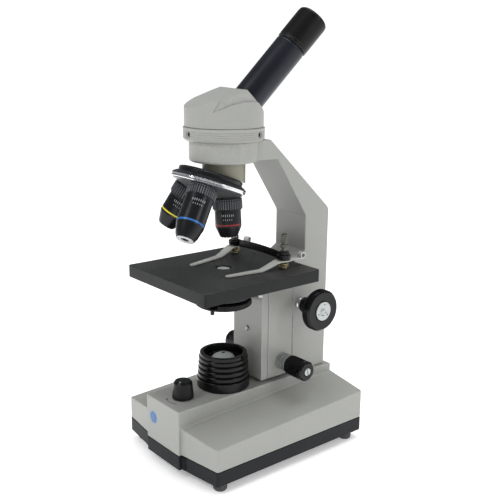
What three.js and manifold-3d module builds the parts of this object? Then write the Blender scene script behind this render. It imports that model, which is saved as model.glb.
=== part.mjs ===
// A student's compound microscope: monocular inclined head, three objectives on a tilted turret,
// plain stage with two clips, coarse and fine focus, and a lit base. Millimetres, +Z up.
// The user faces -Y, the arm is at +Y, and the mirror plane of the stand is x = 0.
import * as THREE from "three";
import { mergeVertices } from "three/addons/utils/BufferGeometryUtils.js";
import Module from "manifold-3d";

const wasm = await Module();
wasm.setup();

// ---- Driving dimensions -------------------------------------------------------------------
const FIT = 0.3; // gap left between two pieces that touch or nest
const RUN = 0.2; // radial running clearance of a turning piece

// Base
const BASE_HALF = 68; // half width over the side wings
const BASE_LONG = 90.25; // half length
const BOX_HALF = 25; // half width of the raised centre box
const BOX_TOP = 62;
const WING_FRONT_IN = 87.2; // how far forward the wing reaches beside the box
const WING_FRONT_OUT = 81.4; // and at its outer edge
const WING_IN_FRONT_Z = 46.3;
const WING_IN_REAR_Z = 54.4;
const WING_OUT_FRONT_Z = 41;
const WING_OUT_REAR_Z = 47.5;
const TRAY_BOTTOM = 8; // height of the foot
const TRAY_TOP = 21;
const WALL = 3;
const FOOT_R = 6;
const FOOT_X = 58.5;
const FOOT_FRONT = -71.5;
const FOOT_REAR = 78.5;

// Optical axis and light source
const AXIS_Y = -23.4;
const TOWER_R = 24;
const TOWER_LIP_R = 21.4;
const TOWER_TOP = 94.4;
const TOWER_BORE = 17.9;
const LENS_R = 11.5;
const LED_R = 15;

// Dimmer
const DIMMER_X = 2;
const DIMMER_Y = -69.5;
const DIMMER_R = 9.4;
const DIMMER_TOP_R = 7.8;
const DIMMER_TOP = 78.8;

// Arm
const ARM_HALF = 20.6;
const ARM_FRONT = 42.5;
const ARM_STEP_Z = 172;
const ARM_UPPER_FRONT = 55.4;
const ARM_UPPER_Z = 180;
const ARM_REAR = 84.9;
const ARM_BEND_Z = 213.3;
const ARM_REAR_TOP = 217.2;
const ARM_NOSE_Y = 20.1;
const ARM_NOSE_Z = 267.4;
const ARM_TOP_Y = 11.8;
const HEAD_SEAT = 285;
const PLATFORM_R = 29.9;
const PLATFORM_BOTTOM = 267.2;
const LIGHT_BORE = 10;

// Dovetails
const TAIL_NECK = 9;
const TAIL_WIDE = 12;
const TAIL_DEEP = 4.4;
const TAIL_BOTTOM = 72;
const TAIL_TOP = 150;
const GROOVE_TOP = 167;
const FRONT_TAIL_NECK = 7;
const FRONT_TAIL_WIDE = 9.5;
const FRONT_TAIL_DEEP = 5;

// Coarse focus
const COARSE_Y = 50.8;
const COARSE_Z = 130.5;
const SHAFT_R = 3;
const GEAR_MODULE = 0.8;
const PINION_TEETH = 12;
const PINION_HALF = 2.8;
const BACKLASH = 0.16;
const RACK_TEETH = 18;
const RACK_HALF = 3;
const KNOB_R = 19;
const KNOB_FACE = 51.75;
const KNOB_THICK = 9.1;
const COLLAR_R = 6;
const COLLAR_OUT = 26.8;
const CAP_R = 8.8;

// Fine focus
const FINE_Y = 29.8;
const FINE_Z = 78;
const FINE_SHAFT_R = 2.5;
const FINE_R = 9.1;
const FINE_START = 32;
const FINE_END = 55.1;
const FINE_NECK_R = 8.1;

// Carriage and stage bracket
const SLIDE_BOTTOM = 64;
const CARRIAGE_FRONT = 12.6;
const CARRIAGE_TOP = 160;
const BRACKET_FRONT = 4.7;
const BRACKET_SCREW_Z = 110;

// Stage
const STAGE_HALF = 57.5;
const STAGE_LONG = 62.5;
const STAGE_BOTTOM = 162;
const STAGE_TOP = 173;
const STAGE_SKIN = 6;
const STAGE_WALL = 5;
const STAGE_HOLE = 7;
const CONDENSER_R = 24;
const CONDENSER_BOTTOM = 145.2;
const CONDENSER_BORE = 10;
const IRIS_R = 25.4;
const IRIS_BOTTOM = 138.7;

// Clips
const POST_X = 34.6;
const POST_Y = 16.8;
const POST_R = 2;
const SPRING_R = 3.9;
const EDGE_SCREW_X = 55;
const EDGE_SCREW_Y = -27;
const ROLL_R = 2.8; // outside of the roll at the tail of a clip
const BAR_RISE = 1.7;
const BAR_WIDE = 7;
const WIRE_R = 0.5;
const ARM_LEVEL = 180;
const CLIP_THICK = 1;
const EYE_R = 6;
const EYE_BOTTOM = 181.4;

// Turret and objectives
const TILT = 20; // degrees between the turret's axis and the optical axis
const APEX_Z = 293.7; // where the two axes meet
const TURRET_REST = 17; // degrees the turret stands past its click stop
const PLATE_NEAR = 38.4; // distances along the turret axis, from the apex
const PLATE_FAR = 43;
const PLATE_R = 28;
const RIM_NEAR = 46;
const RIM_FAR = 49.8;
const RIM_R = 32.8;
const SEAT = 55.8; // distance of an objective's shoulder from the apex, along its own axis
const PAD_R = 11.8; // flat pad of the turret that a shoulder rests on
const PAD_OUT = 2.1; // how far the pad stands proud of the seat
const THREAD_R = 9.8;
const NECK_R = 18.6;

// Head
const COLLAR_TOP = 296.4;
const HEAD_COLLAR_R = 34.8;
const HEAD_R = 33.7;
const SPIGOT_R = 26;
const HEAD_YAW = -17; // degrees the head is turned on the arm
const HEAD_TILT = 41.5; // degrees the tube leans from the vertical
const HEAD_FRONT_TILT = 20;
const HEAD_AXIS_Z = 294.2;
const RIDGE_Z = 328;
const RIDGE_OUT = 8.4;
const TUBE_R = 13.6;
const TUBE_BORE = 11.9;
const TUBE_START = 31.2; // distances along the tube from the head's centre
const TUBE_END = 91.6;
const EYEPIECE_R = 14.2;
const EYEPIECE_END = 124;
const BARREL_R = 11.6;

// ---- Finishes -----------------------------------------------------------------------------
const finish = (color, roughness, metalness) => ({ color, roughness, metalness });
const PAINT = finish(0xaaaca8, 0.45, 0.0);
const CREAM = finish(0x9a9883, 0.5, 0.0);
const BLACK = finish(0x1c1d20, 0.45, 0.0);
const TRAY = finish(0x26272c, 0.6, 0.0);
const RUBBER = finish(0x141414, 0.9, 0.0);
const SATIN = finish(0x232427, 0.35, 0.2);
const SILVER = finish(0x9ea2a3, 0.35, 0.9);
const CHROME = finish(0xe6e6ea, 0.08, 1.0);
const BRASS = finish(0xb08d4a, 0.3, 1.0);
const GLASS = finish(0xcfd8dc, 0.05, 0.0);
const BOARD = finish(0x2c5a3c, 0.6, 0.0);

// ---- Solids -------------------------------------------------------------------------------
// A closed solid from a three.js geometry, with faces turned outwards.
function solid(geometry) {
  const bare = geometry.clone();
  bare.deleteAttribute("normal");
  bare.deleteAttribute("uv");
  const merged = mergeVertices(bare, 1e-4);
  const index = merged.index.array;
  const tris = [];
  for (let i = 0; i < index.length; i += 3) {
    const [a, b, c] = [index[i], index[i + 1], index[i + 2]];
    if (a !== b && b !== c && a !== c) tris.push(a, b, c);
  }
  const positions = merged.attributes.position.array;
  const make = (list) =>
    new wasm.Manifold(
      new wasm.Mesh({ numProp: 3, vertProperties: positions, triVerts: new Uint32Array(list) }),
    );
  const made = make(tris);
  if (made.volume() > 0) return made;
  for (let i = 0; i < tris.length; i += 3) [tris[i + 1], tris[i + 2]] = [tris[i + 2], tris[i + 1]];
  return make(tris);
}

function joined(...parts) {
  return parts.reduce((sum, part) => sum.add(part));
}

function cut(body, ...tools) {
  return tools.reduce((rest, tool) => rest.subtract(tool), body);
}

function placed(part, matrix) {
  return part.transform(matrix.elements);
}

function moved(part, x, y, z) {
  return placed(part, new THREE.Matrix4().makeTranslation(x, y, z));
}

// A solid of revolution about +Z: pairs of radius and height.
function turned(profile, segments = 22) {
  const points = profile.map(([r, z]) => new THREE.Vector2(r, z));
  const geometry = new THREE.LatheGeometry(points, segments);
  return solid(geometry.rotateX(Math.PI / 2));
}

function drum(radius, z0, z1, segments = 22) {
  return turned([[0, z0], [radius, z0], [radius, z1], [0, z1]], segments);
}

function ring(inner, outer, z0, z1, segments = 22) {
  return turned([[inner, z0], [outer, z0], [outer, z1], [inner, z1], [inner, z0]], segments);
}

function outline(points) {
  return new THREE.Shape(points.map(([a, b]) => new THREE.Vector2(a, b)));
}

// A prism with its outline in XY, from z0 to z1.
function slab(points, z0, z1) {
  const geometry = new THREE.ExtrudeGeometry(outline(points), { depth: z1 - z0, bevelEnabled: false });
  return moved(solid(geometry), 0, 0, z0);
}

// A prism with its outline in YZ, from x0 to x1.
function prismX(points, x0, x1) {
  const geometry = new THREE.ExtrudeGeometry(outline(points), { depth: x1 - x0, bevelEnabled: false });
  const turn = new THREE.Matrix4().makeBasis(
    new THREE.Vector3(0, 1, 0),
    new THREE.Vector3(0, 0, 1),
    new THREE.Vector3(1, 0, 0),
  );
  return moved(placed(solid(geometry), turn), x0, 0, 0);
}

function box(x0, x1, y0, y1, z0, z1) {
  return slab([[x0, y0], [x1, y0], [x1, y1], [x0, y1]], z0, z1);
}

// Matrix that lays a solid made along +Z on an axis through `origin` with direction `axis`.
function alongAxis(origin, axis, spin = 0) {
  const turn = new THREE.Quaternion().setFromUnitVectors(new THREE.Vector3(0, 0, 1), axis);
  const own = new THREE.Quaternion().setFromAxisAngle(new THREE.Vector3(0, 0, 1), spin);
  return new THREE.Matrix4().compose(origin, turn.multiply(own), new THREE.Vector3(1, 1, 1));
}

// Matrix that lays a solid made along +Z on the X axis at (y, z), pointing to the side given.
function alongX(side, y, z) {
  return alongAxis(new THREE.Vector3(0, y, z), new THREE.Vector3(side, 0, 0));
}

function roundedRect(halfX, y0, y1, radius, steps = 4) {
  const points = [];
  const corners = [[halfX - radius, y0 + radius, -90], [halfX - radius, y1 - radius, 0]];
  corners.push([-halfX + radius, y1 - radius, 90], [-halfX + radius, y0 + radius, 180]);
  for (const [cx, cy, start] of corners)
    for (let i = 0; i <= steps; i++) {
      const angle = ((start + (90 * i) / steps) * Math.PI) / 180;
      points.push([cx + radius * Math.cos(angle), cy + radius * Math.sin(angle)]);
    }
  return points;
}

const group = new THREE.Group();

function node(name, part, look) {
  const mesh = part.getMesh();
  const geometry = new THREE.BufferGeometry();
  geometry.setAttribute("position", new THREE.BufferAttribute(new Float32Array(mesh.vertProperties), 3));
  geometry.setIndex(new THREE.BufferAttribute(new Uint32Array(mesh.triVerts), 1));
  geometry.computeVertexNormals();
  const body = new THREE.Mesh(geometry, new THREE.MeshStandardMaterial(look));
  body.name = name;
  group.add(body);
}

// ---- Base ---------------------------------------------------------------------------------
// Outline of box and wings, drawn in by `inset` all round.
function baseOutline(inset) {
  const half = BASE_HALF - inset;
  const rear = BASE_LONG - inset;
  const inner = BOX_HALF - inset;
  const right = [
    [inner, -BASE_LONG + inset],
    [inner, -WING_FRONT_IN + inset],
    [half - 2, -WING_FRONT_OUT - 0.3 + inset],
    [half, -WING_FRONT_OUT + 1.5 + inset],
    [half, rear - 2],
    [half - 2, rear],
  ];
  const left = right.map(([x, y]) => [-x, y]).reverse();
  return [...right, ...left];
}

// Everything above the sloping top of a wing, to be taken away outside the box.
function aboveWing(side, drop) {
  const reach = BASE_LONG + 5;
  const inner = BOX_HALF - drop;
  const rise = (front, rear, y) => front + ((rear - front) * (y + WING_FRONT_OUT)) / (2 * WING_FRONT_OUT);
  const heights = (y) => [
    rise(WING_IN_FRONT_Z, WING_IN_REAR_Z, y) - drop,
    rise(WING_OUT_FRONT_Z, WING_OUT_REAR_Z, y) - drop,
  ];
  const slope = (y) => {
    const [zin, zout] = heights(y);
    const fall = (zin - zout) / (BASE_HALF - BOX_HALF);
    return [
      [inner, zin + fall * drop],
      [BASE_HALF + 5, zout - fall * 5],
    ];
  };
  const corners = [];
  for (const y of [-reach, reach]) {
    const [[xa, za], [xb, zb]] = slope(y);
    corners.push([xa, y, za], [xb, y, zb], [xb, y, BOX_TOP + 20], [xa, y, BOX_TOP + 20]);
  }
  const positions = new Float32Array(corners.flatMap(([x, y, z]) => [side * x, y, z]));
  const faces = [0, 1, 2, 0, 2, 3, 4, 6, 5, 4, 7, 6, 0, 4, 5, 0, 5, 1];
  faces.push(1, 5, 6, 1, 6, 2, 2, 6, 7, 2, 7, 3, 3, 7, 4, 3, 4, 0);
  const geometry = new THREE.BufferGeometry();
  geometry.setAttribute("position", new THREE.BufferAttribute(positions, 3));
  geometry.setIndex(faces);
  return solid(geometry);
}

function baseBlock(inset, z0, z1, drop) {
  return cut(slab(baseOutline(inset), z0, z1), aboveWing(1, drop), aboveWing(-1, drop));
}

function baseCover() {
  const outer = baseBlock(0, TRAY_TOP + FIT, BOX_TOP, 0);
  const inner = baseBlock(WALL, TRAY_TOP - 1, BOX_TOP - WALL, WALL);
  const shaftHole = moved(drum(3.4, BOX_TOP - 9, BOX_TOP + 5), DIMMER_X, DIMMER_Y, 0);
  const wireHole = moved(drum(4, BOX_TOP - 9, BOX_TOP + 5), 0, AXIS_Y, 0);
  const inlet = placed(drum(5.8, 70, 100, 20), inletMatrix());
  return cut(outer, inner, shaftHole, wireHole, inlet);
}

function bottomPlate() {
  const tray = slab(baseOutline(0), TRAY_BOTTOM, TRAY_TOP);
  const hollow = slab(baseOutline(WALL), TRAY_BOTTOM + WALL, TRAY_TOP + 5);
  return cut(tray, hollow);
}

function foot() {
  const z = TRAY_BOTTOM - FIT;
  return turned([[0, 0], [FOOT_R - 0.6, 0], [FOOT_R, 0.8], [FOOT_R - 0.5, z], [0, z]], 20);
}

function inletMatrix() {
  return alongAxis(new THREE.Vector3(12, 0, 38), new THREE.Vector3(0, 1, 0));
}

function inlet() {
  const shell = ring(3.2, 5.5, 78, BASE_LONG - 0.2, 20);
  const back = drum(5.5, 76, 78.5, 20);
  const pin = drum(1, 78, BASE_LONG - 1.5, 12);
  return placed(joined(shell, back, pin), inletMatrix());
}

function dimmerKnob() {
  const body = turned([
    [0, BOX_TOP + 0.6],
    [DIMMER_R, BOX_TOP + 0.6],
    [DIMMER_R, BOX_TOP + 2.4],
    [DIMMER_TOP_R + 0.4, DIMMER_TOP - 1.2],
    [DIMMER_TOP_R - 0.8, DIMMER_TOP],
    [0, DIMMER_TOP],
  ]);
  return moved(cut(body, drum(3 + RUN, BOX_TOP, DIMMER_TOP - 4, 18)), DIMMER_X, DIMMER_Y, 0);
}

function dimmerControl() {
  const can = drum(8, 44, BOX_TOP - WALL - FIT, 20);
  return moved(joined(can, drum(3, 50, DIMMER_TOP - 4 - FIT, 18)), DIMMER_X, DIMMER_Y, 0);
}

// ---- Light source -------------------------------------------------------------------------
function towerProfile() {
  const bottom = BOX_TOP + FIT;
  const points = [[TOWER_R - 4, bottom], [TOWER_R, bottom], [TOWER_R, bottom + 8.6]];
  const ribs = 4;
  const ribStep = (TOWER_TOP - 3.4 - bottom - 8.6) / ribs;
  for (let i = 0; i < ribs; i++) {
    const z = bottom + 8.6 + i * ribStep;
    const low = TOWER_R - 0.4 - i * 0.35;
    points.push([low - 1.3, z], [low - 1.3, z + 1.2], [low, z + 1.9], [low - 0.4, z + ribStep]);
  }
  points.push([TOWER_LIP_R, TOWER_TOP - 3.4], [TOWER_LIP_R, TOWER_TOP], [TOWER_BORE, TOWER_TOP]);
  points.push([TOWER_BORE, 86], [LENS_R + FIT, 85], [LENS_R + FIT, 81], [TOWER_BORE, 80]);
  points.push([TOWER_BORE, bottom + 4], [TOWER_R - 4, bottom]);
  return points;
}

function tower() {
  return moved(turned(towerProfile(), 28), 0, AXIS_Y, 0);
}

function collectorLens() {
  const points = [[0, 80.5], [LENS_R, 81], [LENS_R, 87], [LENS_R - 2.2, 90], [LENS_R - 5.5, 92]];
  points.push([0, 92.8]);
  return moved(turned(points, 18), 0, AXIS_Y, 0);
}

function ledBoard() {
  const board = drum(LED_R, BOX_TOP + FIT, BOX_TOP + 1.9);
  return moved(joined(board, drum(4, BOX_TOP + 1, BOX_TOP + 6, 18)), 0, AXIS_Y, 0);
}

// ---- Arm ----------------------------------------------------------------------------------
function armCasting() {
  const bottom = BOX_TOP + FIT;
  const side = prismX(
    [
      [ARM_FRONT, bottom],
      [ARM_REAR, bottom],
      [ARM_REAR, ARM_REAR_TOP],
      [ARM_TOP_Y, HEAD_SEAT],
      [-8, HEAD_SEAT],
      [-8, ARM_NOSE_Z],
      [ARM_NOSE_Y, ARM_NOSE_Z],
      [ARM_UPPER_FRONT, ARM_BEND_Z],
      [ARM_UPPER_FRONT, ARM_UPPER_Z],
      [ARM_FRONT, ARM_STEP_Z],
    ],
    -ARM_HALF,
    ARM_HALF,
  );
  const platform = turned([
    [0, PLATFORM_BOTTOM],
    [PLATFORM_R - 1.8, PLATFORM_BOTTOM],
    [PLATFORM_R - 0.6, PLATFORM_BOTTOM + 0.6],
    [PLATFORM_R, PLATFORM_BOTTOM + 2],
    [PLATFORM_R, HEAD_SEAT],
    [0, HEAD_SEAT],
  ], 28);
  const grooveFront = ARM_FRONT - 1;
  const neck = TAIL_NECK + RUN;
  const wide = TAIL_WIDE + RUN;
  const deep = ARM_FRONT + TAIL_DEEP;
  const groove = slab(
    [[-neck, grooveFront], [neck, grooveFront], [neck, ARM_FRONT], [wide, deep], [-wide, deep], [-neck, ARM_FRONT]],
    bottom - 1,
    GROOVE_TOP,
  );
  const pocket = box(-4, 4, ARM_FRONT - 1, COARSE_Y + 6.6, COARSE_Z - 7.5, COARSE_Z + 7.5);
  const shaftBore = placed(drum(SHAFT_R + RUN, -ARM_HALF - 5, ARM_HALF + 5, 20), alongX(1, COARSE_Y, COARSE_Z));
  const light = moved(drum(LIGHT_BORE, PLATFORM_BOTTOM - 5, HEAD_SEAT + 5), 0, AXIS_Y, 0);
  return cut(joined(side, moved(platform, 0, AXIS_Y, 0)), groove, pocket, shaftBore, light);
}

// ---- Coarse focus -------------------------------------------------------------------------
const PITCH_R = (GEAR_MODULE * PINION_TEETH) / 2;
const RACK_PITCH = Math.PI * GEAR_MODULE;
const PRESSURE = Math.tan((20 * Math.PI) / 180);

// Corners of the rack's teeth in (height, depth): depth grows towards the pinion.
function rackTeeth(first, count, thin, tip, root) {
  const half = RACK_PITCH / 4 - thin / 2;
  const points = [];
  for (let i = 0; i < count; i++) {
    const mid = first + i * RACK_PITCH;
    points.push([mid - half - PRESSURE * root, -root], [mid - half + PRESSURE * tip, tip]);
    points.push([mid + half - PRESSURE * tip, tip], [mid + half + PRESSURE * root, -root]);
  }
  return points;
}

// The pinion's section: a disc rolled against a rack that cuts away whatever would touch it.
function pinionSection() {
  const outer = PITCH_R + GEAR_MODULE * 0.85;
  const disc = [];
  for (let i = 0; i < 72; i++) {
    const angle = (i * 2 * Math.PI) / 72;
    disc.push([outer * Math.cos(angle), outer * Math.sin(angle)]);
  }
  let section = new wasm.CrossSection([disc]);
  const tip = GEAR_MODULE * 1.05;
  const teeth = rackTeeth(-4 * RACK_PITCH, 9, -BACKLASH, tip, GEAR_MODULE);
  const low = -GEAR_MODULE - 3;
  const bar = [[-5 * RACK_PITCH, low], [-5 * RACK_PITCH, -GEAR_MODULE], ...teeth];
  bar.push([5 * RACK_PITCH, -GEAR_MODULE], [5 * RACK_PITCH, low]);
  const steps = 9 * PINION_TEETH;
  for (let i = 0; i < steps; i++) {
    const angle = (i * 2 * Math.PI) / steps;
    const slip = (PITCH_R * angle) % RACK_PITCH;
    // The rack lies on the side of -Y at distance PITCH_R, and slides along Z as the pinion turns.
    const path = bar.map(([h, d]) => {
      const y = -PITCH_R + d;
      const z = h - slip;
      return [y * Math.cos(angle) + z * Math.sin(angle), -y * Math.sin(angle) + z * Math.cos(angle)];
    });
    section = section.subtract(new wasm.CrossSection([path], "NonZero"));
  }
  return section.simplify(0.05).toPolygons()[0];
}

function pinionShaft() {
  const teeth = prismX(pinionSection().map(([y, z]) => [y, z]), -PINION_HALF, PINION_HALF);
  const long = KNOB_FACE - 2.4;
  const rod = placed(drum(SHAFT_R, -long, long, 20), alongX(1, 0, 0));
  return moved(joined(teeth, rod), 0, COARSE_Y, COARSE_Z);
}

function rack() {
  const back = COARSE_Y - PITCH_R - GEAR_MODULE;
  const first = COARSE_Z - 11 * RACK_PITCH;
  const teeth = rackTeeth(first, RACK_TEETH, BACKLASH, GEAR_MODULE * 0.85, GEAR_MODULE);
  const pitchY = COARSE_Y - PITCH_R;
  const low = first - RACK_PITCH;
  const high = first + RACK_TEETH * RACK_PITCH;
  const path = teeth.map(([h, d]) => [pitchY + d, h]);
  const section = [[back, low], ...path, [back, high]];
  section.push([ARM_FRONT + 0.9, high], [ARM_FRONT + 0.9, low]);
  return prismX(section, -RACK_HALF, RACK_HALF);
}

function coarseKnob(side) {
  const back = KNOB_FACE - KNOB_THICK;
  const body = turned([
    [0, COLLAR_OUT + FIT],
    [7.2, COLLAR_OUT + FIT],
    [7.6, COLLAR_OUT + 2],
    [7.6, back],
    [KNOB_R - 1.2, back],
    [KNOB_R, back + 1.2],
    [KNOB_R, KNOB_FACE - 1.2],
    [KNOB_R - 1.2, KNOB_FACE],
    [CAP_R + FIT, KNOB_FACE],
    [CAP_R + FIT, KNOB_FACE - 1.6],
    [0, KNOB_FACE - 1.6],
  ], 24);
  const bore = drum(SHAFT_R + 0.05, COLLAR_OUT - 1, KNOB_FACE - 2.4 + 0.1, 20);
  return placed(cut(body, bore), alongX(side, COARSE_Y, COARSE_Z));
}

function coarseCap(side) {
  const disc = drum(CAP_R, KNOB_FACE - 1.5, KNOB_FACE + 0.7, 18);
  const dish = drum(3.2, KNOB_FACE + 0.1, KNOB_FACE + 3, 18);
  const holes = [0, 120, 240].map((angle) => {
    const a = ((angle + 30) * Math.PI) / 180;
    return moved(drum(0.8, KNOB_FACE - 0.3, KNOB_FACE + 3, 12), 6 * Math.cos(a), 6 * Math.sin(a), 0);
  });
  return placed(cut(disc, dish, ...holes), alongX(side, COARSE_Y, COARSE_Z));
}

function shaftCollar(side) {
  const body = ring(SHAFT_R + RUN, COLLAR_R, ARM_HALF + FIT, COLLAR_OUT, 18);
  return placed(body, alongX(side, COARSE_Y, COARSE_Z));
}

// ---- Carriage, fine focus and stage bracket -----------------------------------------------
function carriage() {
  const rear = ARM_FRONT - FIT;
  const body = box(-ARM_HALF, ARM_HALF, CARRIAGE_FRONT, rear, SLIDE_BOTTOM, CARRIAGE_TOP);
  const deep = ARM_FRONT + TAIL_DEEP - FIT;
  const neck = TAIL_NECK - RUN;
  const wide = TAIL_WIDE - RUN;
  const tail = slab(
    [[-neck, rear - 1], [neck, rear - 1], [neck, rear], [wide, deep], [-wide, deep], [-neck, rear]],
    TAIL_BOTTOM,
    TAIL_TOP,
  );
  const slot = box(-RACK_HALF - FIT, RACK_HALF + FIT, ARM_FRONT + 0.6, deep + 5, TAIL_BOTTOM - 1, TAIL_TOP + 1);
  const grooveDeep = CARRIAGE_FRONT + FRONT_TAIL_DEEP;
  const mouth = FRONT_TAIL_NECK + RUN;
  const back = FRONT_TAIL_WIDE + RUN;
  const groove = slab(
    [
      [-mouth, CARRIAGE_FRONT - 1],
      [mouth, CARRIAGE_FRONT - 1],
      [mouth, CARRIAGE_FRONT],
      [back, grooveDeep],
      [-back, grooveDeep],
      [-mouth, CARRIAGE_FRONT],
    ],
    SLIDE_BOTTOM - 1,
    TAIL_TOP + 4,
  );
  const bore = placed(drum(FINE_SHAFT_R + RUN, -ARM_HALF - 2, ARM_HALF + 2, 20), alongX(1, FINE_Y, FINE_Z));
  return cut(joined(body, tail), slot, groove, bore);
}

function stageBracket() {
  const rear = CARRIAGE_FRONT - FIT;
  const top = STAGE_TOP - STAGE_SKIN - FIT;
  const body = box(-ARM_HALF, ARM_HALF, BRACKET_FRONT, rear, SLIDE_BOTTOM, top);
  const deep = CARRIAGE_FRONT + FRONT_TAIL_DEEP - FIT;
  const neck = FRONT_TAIL_NECK - RUN;
  const wide = FRONT_TAIL_WIDE - RUN;
  const tail = slab(
    [[-neck, rear - 1], [neck, rear - 1], [neck, rear], [wide, deep], [-wide, deep], [-neck, rear]],
    TAIL_BOTTOM,
    TAIL_TOP,
  );
  const hole = placed(drum(1.5, -1, 5, 14), screwMatrix());
  return cut(joined(body, tail), hole);
}

function screwMatrix() {
  return alongAxis(new THREE.Vector3(0, BRACKET_FRONT, BRACKET_SCREW_Z), new THREE.Vector3(0, 1, 0));
}

function bracketScrew() {
  const head = drum(2.4, -1.6, -FIT, 18);
  const shank = drum(1.5 - RUN, -1, 4.6, 14);
  const slot = box(-3, 3, -0.35, 0.35, -3, -0.9);
  return placed(cut(joined(head, shank), slot), screwMatrix());
}

function fineShaft() {
  return placed(drum(FINE_SHAFT_R, -FINE_END + 3, FINE_END - 3, 20), alongX(1, FINE_Y, FINE_Z));
}

function fineKnob(side) {
  const body = turned([
    [0, FINE_START + FIT],
    [FINE_R - 0.8, FINE_START + FIT],
    [FINE_R, FINE_START + 1.2],
    [FINE_R, FINE_END - 1],
    [FINE_R - 1, FINE_END],
    [3.8, FINE_END],
    [3.8, FINE_END - 1.6],
    [0, FINE_END - 1.6],
  ], 20);
  const bore = drum(FINE_SHAFT_R + 0.05, FINE_START - 1, FINE_END - 2.9, 20);
  return placed(cut(body, bore), alongX(side, FINE_Y, FINE_Z));
}

function fineNeck(side) {
  const start = ARM_HALF + FIT;
  const points = [[FINE_SHAFT_R + 0.05, start], [FINE_NECK_R, start], [FINE_NECK_R, start + 2]];
  for (let i = 0; i < 2; i++) {
    const x = start + 2.2 + i * 4.2;
    points.push([FINE_NECK_R - 1.4, x], [FINE_NECK_R - 1.4, x + 1.4]);
    points.push([FINE_NECK_R, x + 1.7], [FINE_NECK_R, x + 4]);
  }
  points.push([FINE_NECK_R, FINE_START], [FINE_SHAFT_R + 0.05, FINE_START], [FINE_SHAFT_R + 0.05, start]);
  return placed(turned(points, 18), alongX(side, FINE_Y, FINE_Z));
}

function fineScrew(side) {
  const head = drum(3.5, FINE_END - 1.5, FINE_END + 0.6, 20);
  const slot = box(-4, 4, -0.45, 0.45, FINE_END - 0.4, FINE_END + 2);
  return placed(cut(head, slot), alongX(side, FINE_Y, FINE_Z));
}

// ---- Stage --------------------------------------------------------------------------------
function stagePlate() {
  const y0 = AXIS_Y - STAGE_LONG;
  const y1 = AXIS_Y + STAGE_LONG;
  const body = slab(roundedRect(STAGE_HALF, y0, y1, 2), STAGE_BOTTOM, STAGE_TOP);
  const under = slab(
    roundedRect(STAGE_HALF - STAGE_WALL, y0 + STAGE_WALL, y1 - STAGE_WALL, 2),
    STAGE_BOTTOM - 1,
    STAGE_TOP - STAGE_SKIN,
  );
  const hole = moved(drum(STAGE_HOLE, STAGE_BOTTOM, STAGE_TOP + 5), 0, AXIS_Y, 0);
  const posts = [-1, 1].map((side) =>
    moved(drum(POST_R - 0.4, STAGE_TOP - 3.5, STAGE_TOP + 5, 14), side * POST_X, POST_Y, 0),
  );
  const thread = moved(drum(1.2, STAGE_BOTTOM - 1, STAGE_BOTTOM + 4, 14), EDGE_SCREW_X, EDGE_SCREW_Y, 0);
  return cut(body, under, hole, thread, ...posts);
}

// A small screw in the underside of the stage's right wall.
function stageScrew() {
  const top = STAGE_BOTTOM - FIT;
  const head = [[0, top - 2.2], [1.3, top - 2.2], [1.8, top - 1.7], [1.8, top], [1.2 - RUN, top]];
  const body = turned([...head, [1.2 - RUN, STAGE_BOTTOM + 3.6], [0, STAGE_BOTTOM + 3.6]], 14);
  return moved(body, EDGE_SCREW_X, EDGE_SCREW_Y, 0);
}

function condenserHousing() {
  const top = STAGE_TOP - STAGE_SKIN - FIT;
  const points = [
    [CONDENSER_BORE + FIT, CONDENSER_BOTTOM],
    [CONDENSER_R - 1, CONDENSER_BOTTOM],
    [CONDENSER_R, CONDENSER_BOTTOM + 1],
    [CONDENSER_R, top],
    [STAGE_HOLE + 1, top],
    [STAGE_HOLE + 1, 161],
    [CONDENSER_BORE + FIT, 161],
    [CONDENSER_BORE + FIT, CONDENSER_BOTTOM],
  ];
  return moved(turned(points, 24), 0, AXIS_Y, 0);
}

function condenserLens() {
  const r = CONDENSER_BORE;
  const points = [[0, 146.5], [r, 148], [r, 160.7], [STAGE_HOLE, 160.7], [STAGE_HOLE, 166]];
  points.push([STAGE_HOLE - 2, 168], [0, 169]);
  return moved(turned(points, 18), 0, AXIS_Y, 0);
}

function irisRing() {
  const top = CONDENSER_BOTTOM - FIT;
  const body = ring(8, IRIS_R, IRIS_BOTTOM, top, 24);
  const angle = (-57 * Math.PI) / 180;
  const lever = placed(
    box(IRIS_R - 2, IRIS_R + 5.4, -3.2, 3.2, IRIS_BOTTOM + 2.6, IRIS_BOTTOM + 4.4),
    new THREE.Matrix4().makeRotationZ(angle),
  );
  const nub = placed(
    moved(drum(1.8, IRIS_BOTTOM - 1, IRIS_BOTTOM + 3, 12), IRIS_R + 3.2, 0, 0),
    new THREE.Matrix4().makeRotationZ(angle),
  );
  return moved(joined(body, lever, nub), 0, AXIS_Y, 0);
}

// ---- Clips --------------------------------------------------------------------------------
const CLIP_TIP_LEFT = [-18.8, -45.5];
const CLIP_TIP_RIGHT = [28.5, -43];

function clipPost(side) {
  const right = side > 0;
  const eyeTop = right ? EYE_BOTTOM + 7 : EYE_BOTTOM + 4;
  const points = [[0, STAGE_TOP - 3], [POST_R - 0.7, STAGE_TOP - 3], [POST_R - 0.7, STAGE_TOP + FIT]];
  points.push([POST_R, STAGE_TOP + FIT], [POST_R, eyeTop + FIT]);
  if (right) {
    points.push([POST_R, eyeTop + 3.2], [3.4, eyeTop + 3.2], [3.4, eyeTop + 6], [2.3, eyeTop + 6.4]);
    points.push([2.9, eyeTop + 8], [2.9, eyeTop + 15], [2.2, eyeTop + 15.8], [0, eyeTop + 15.8]);
  } else {
    points.push([3.4, eyeTop + FIT], [3.4, eyeTop + 4.6], [2.8, eyeTop + 5.2], [0, eyeTop + 5.2]);
  }
  return moved(turned(points, 18), side * POST_X, POST_Y, 0);
}

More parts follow.
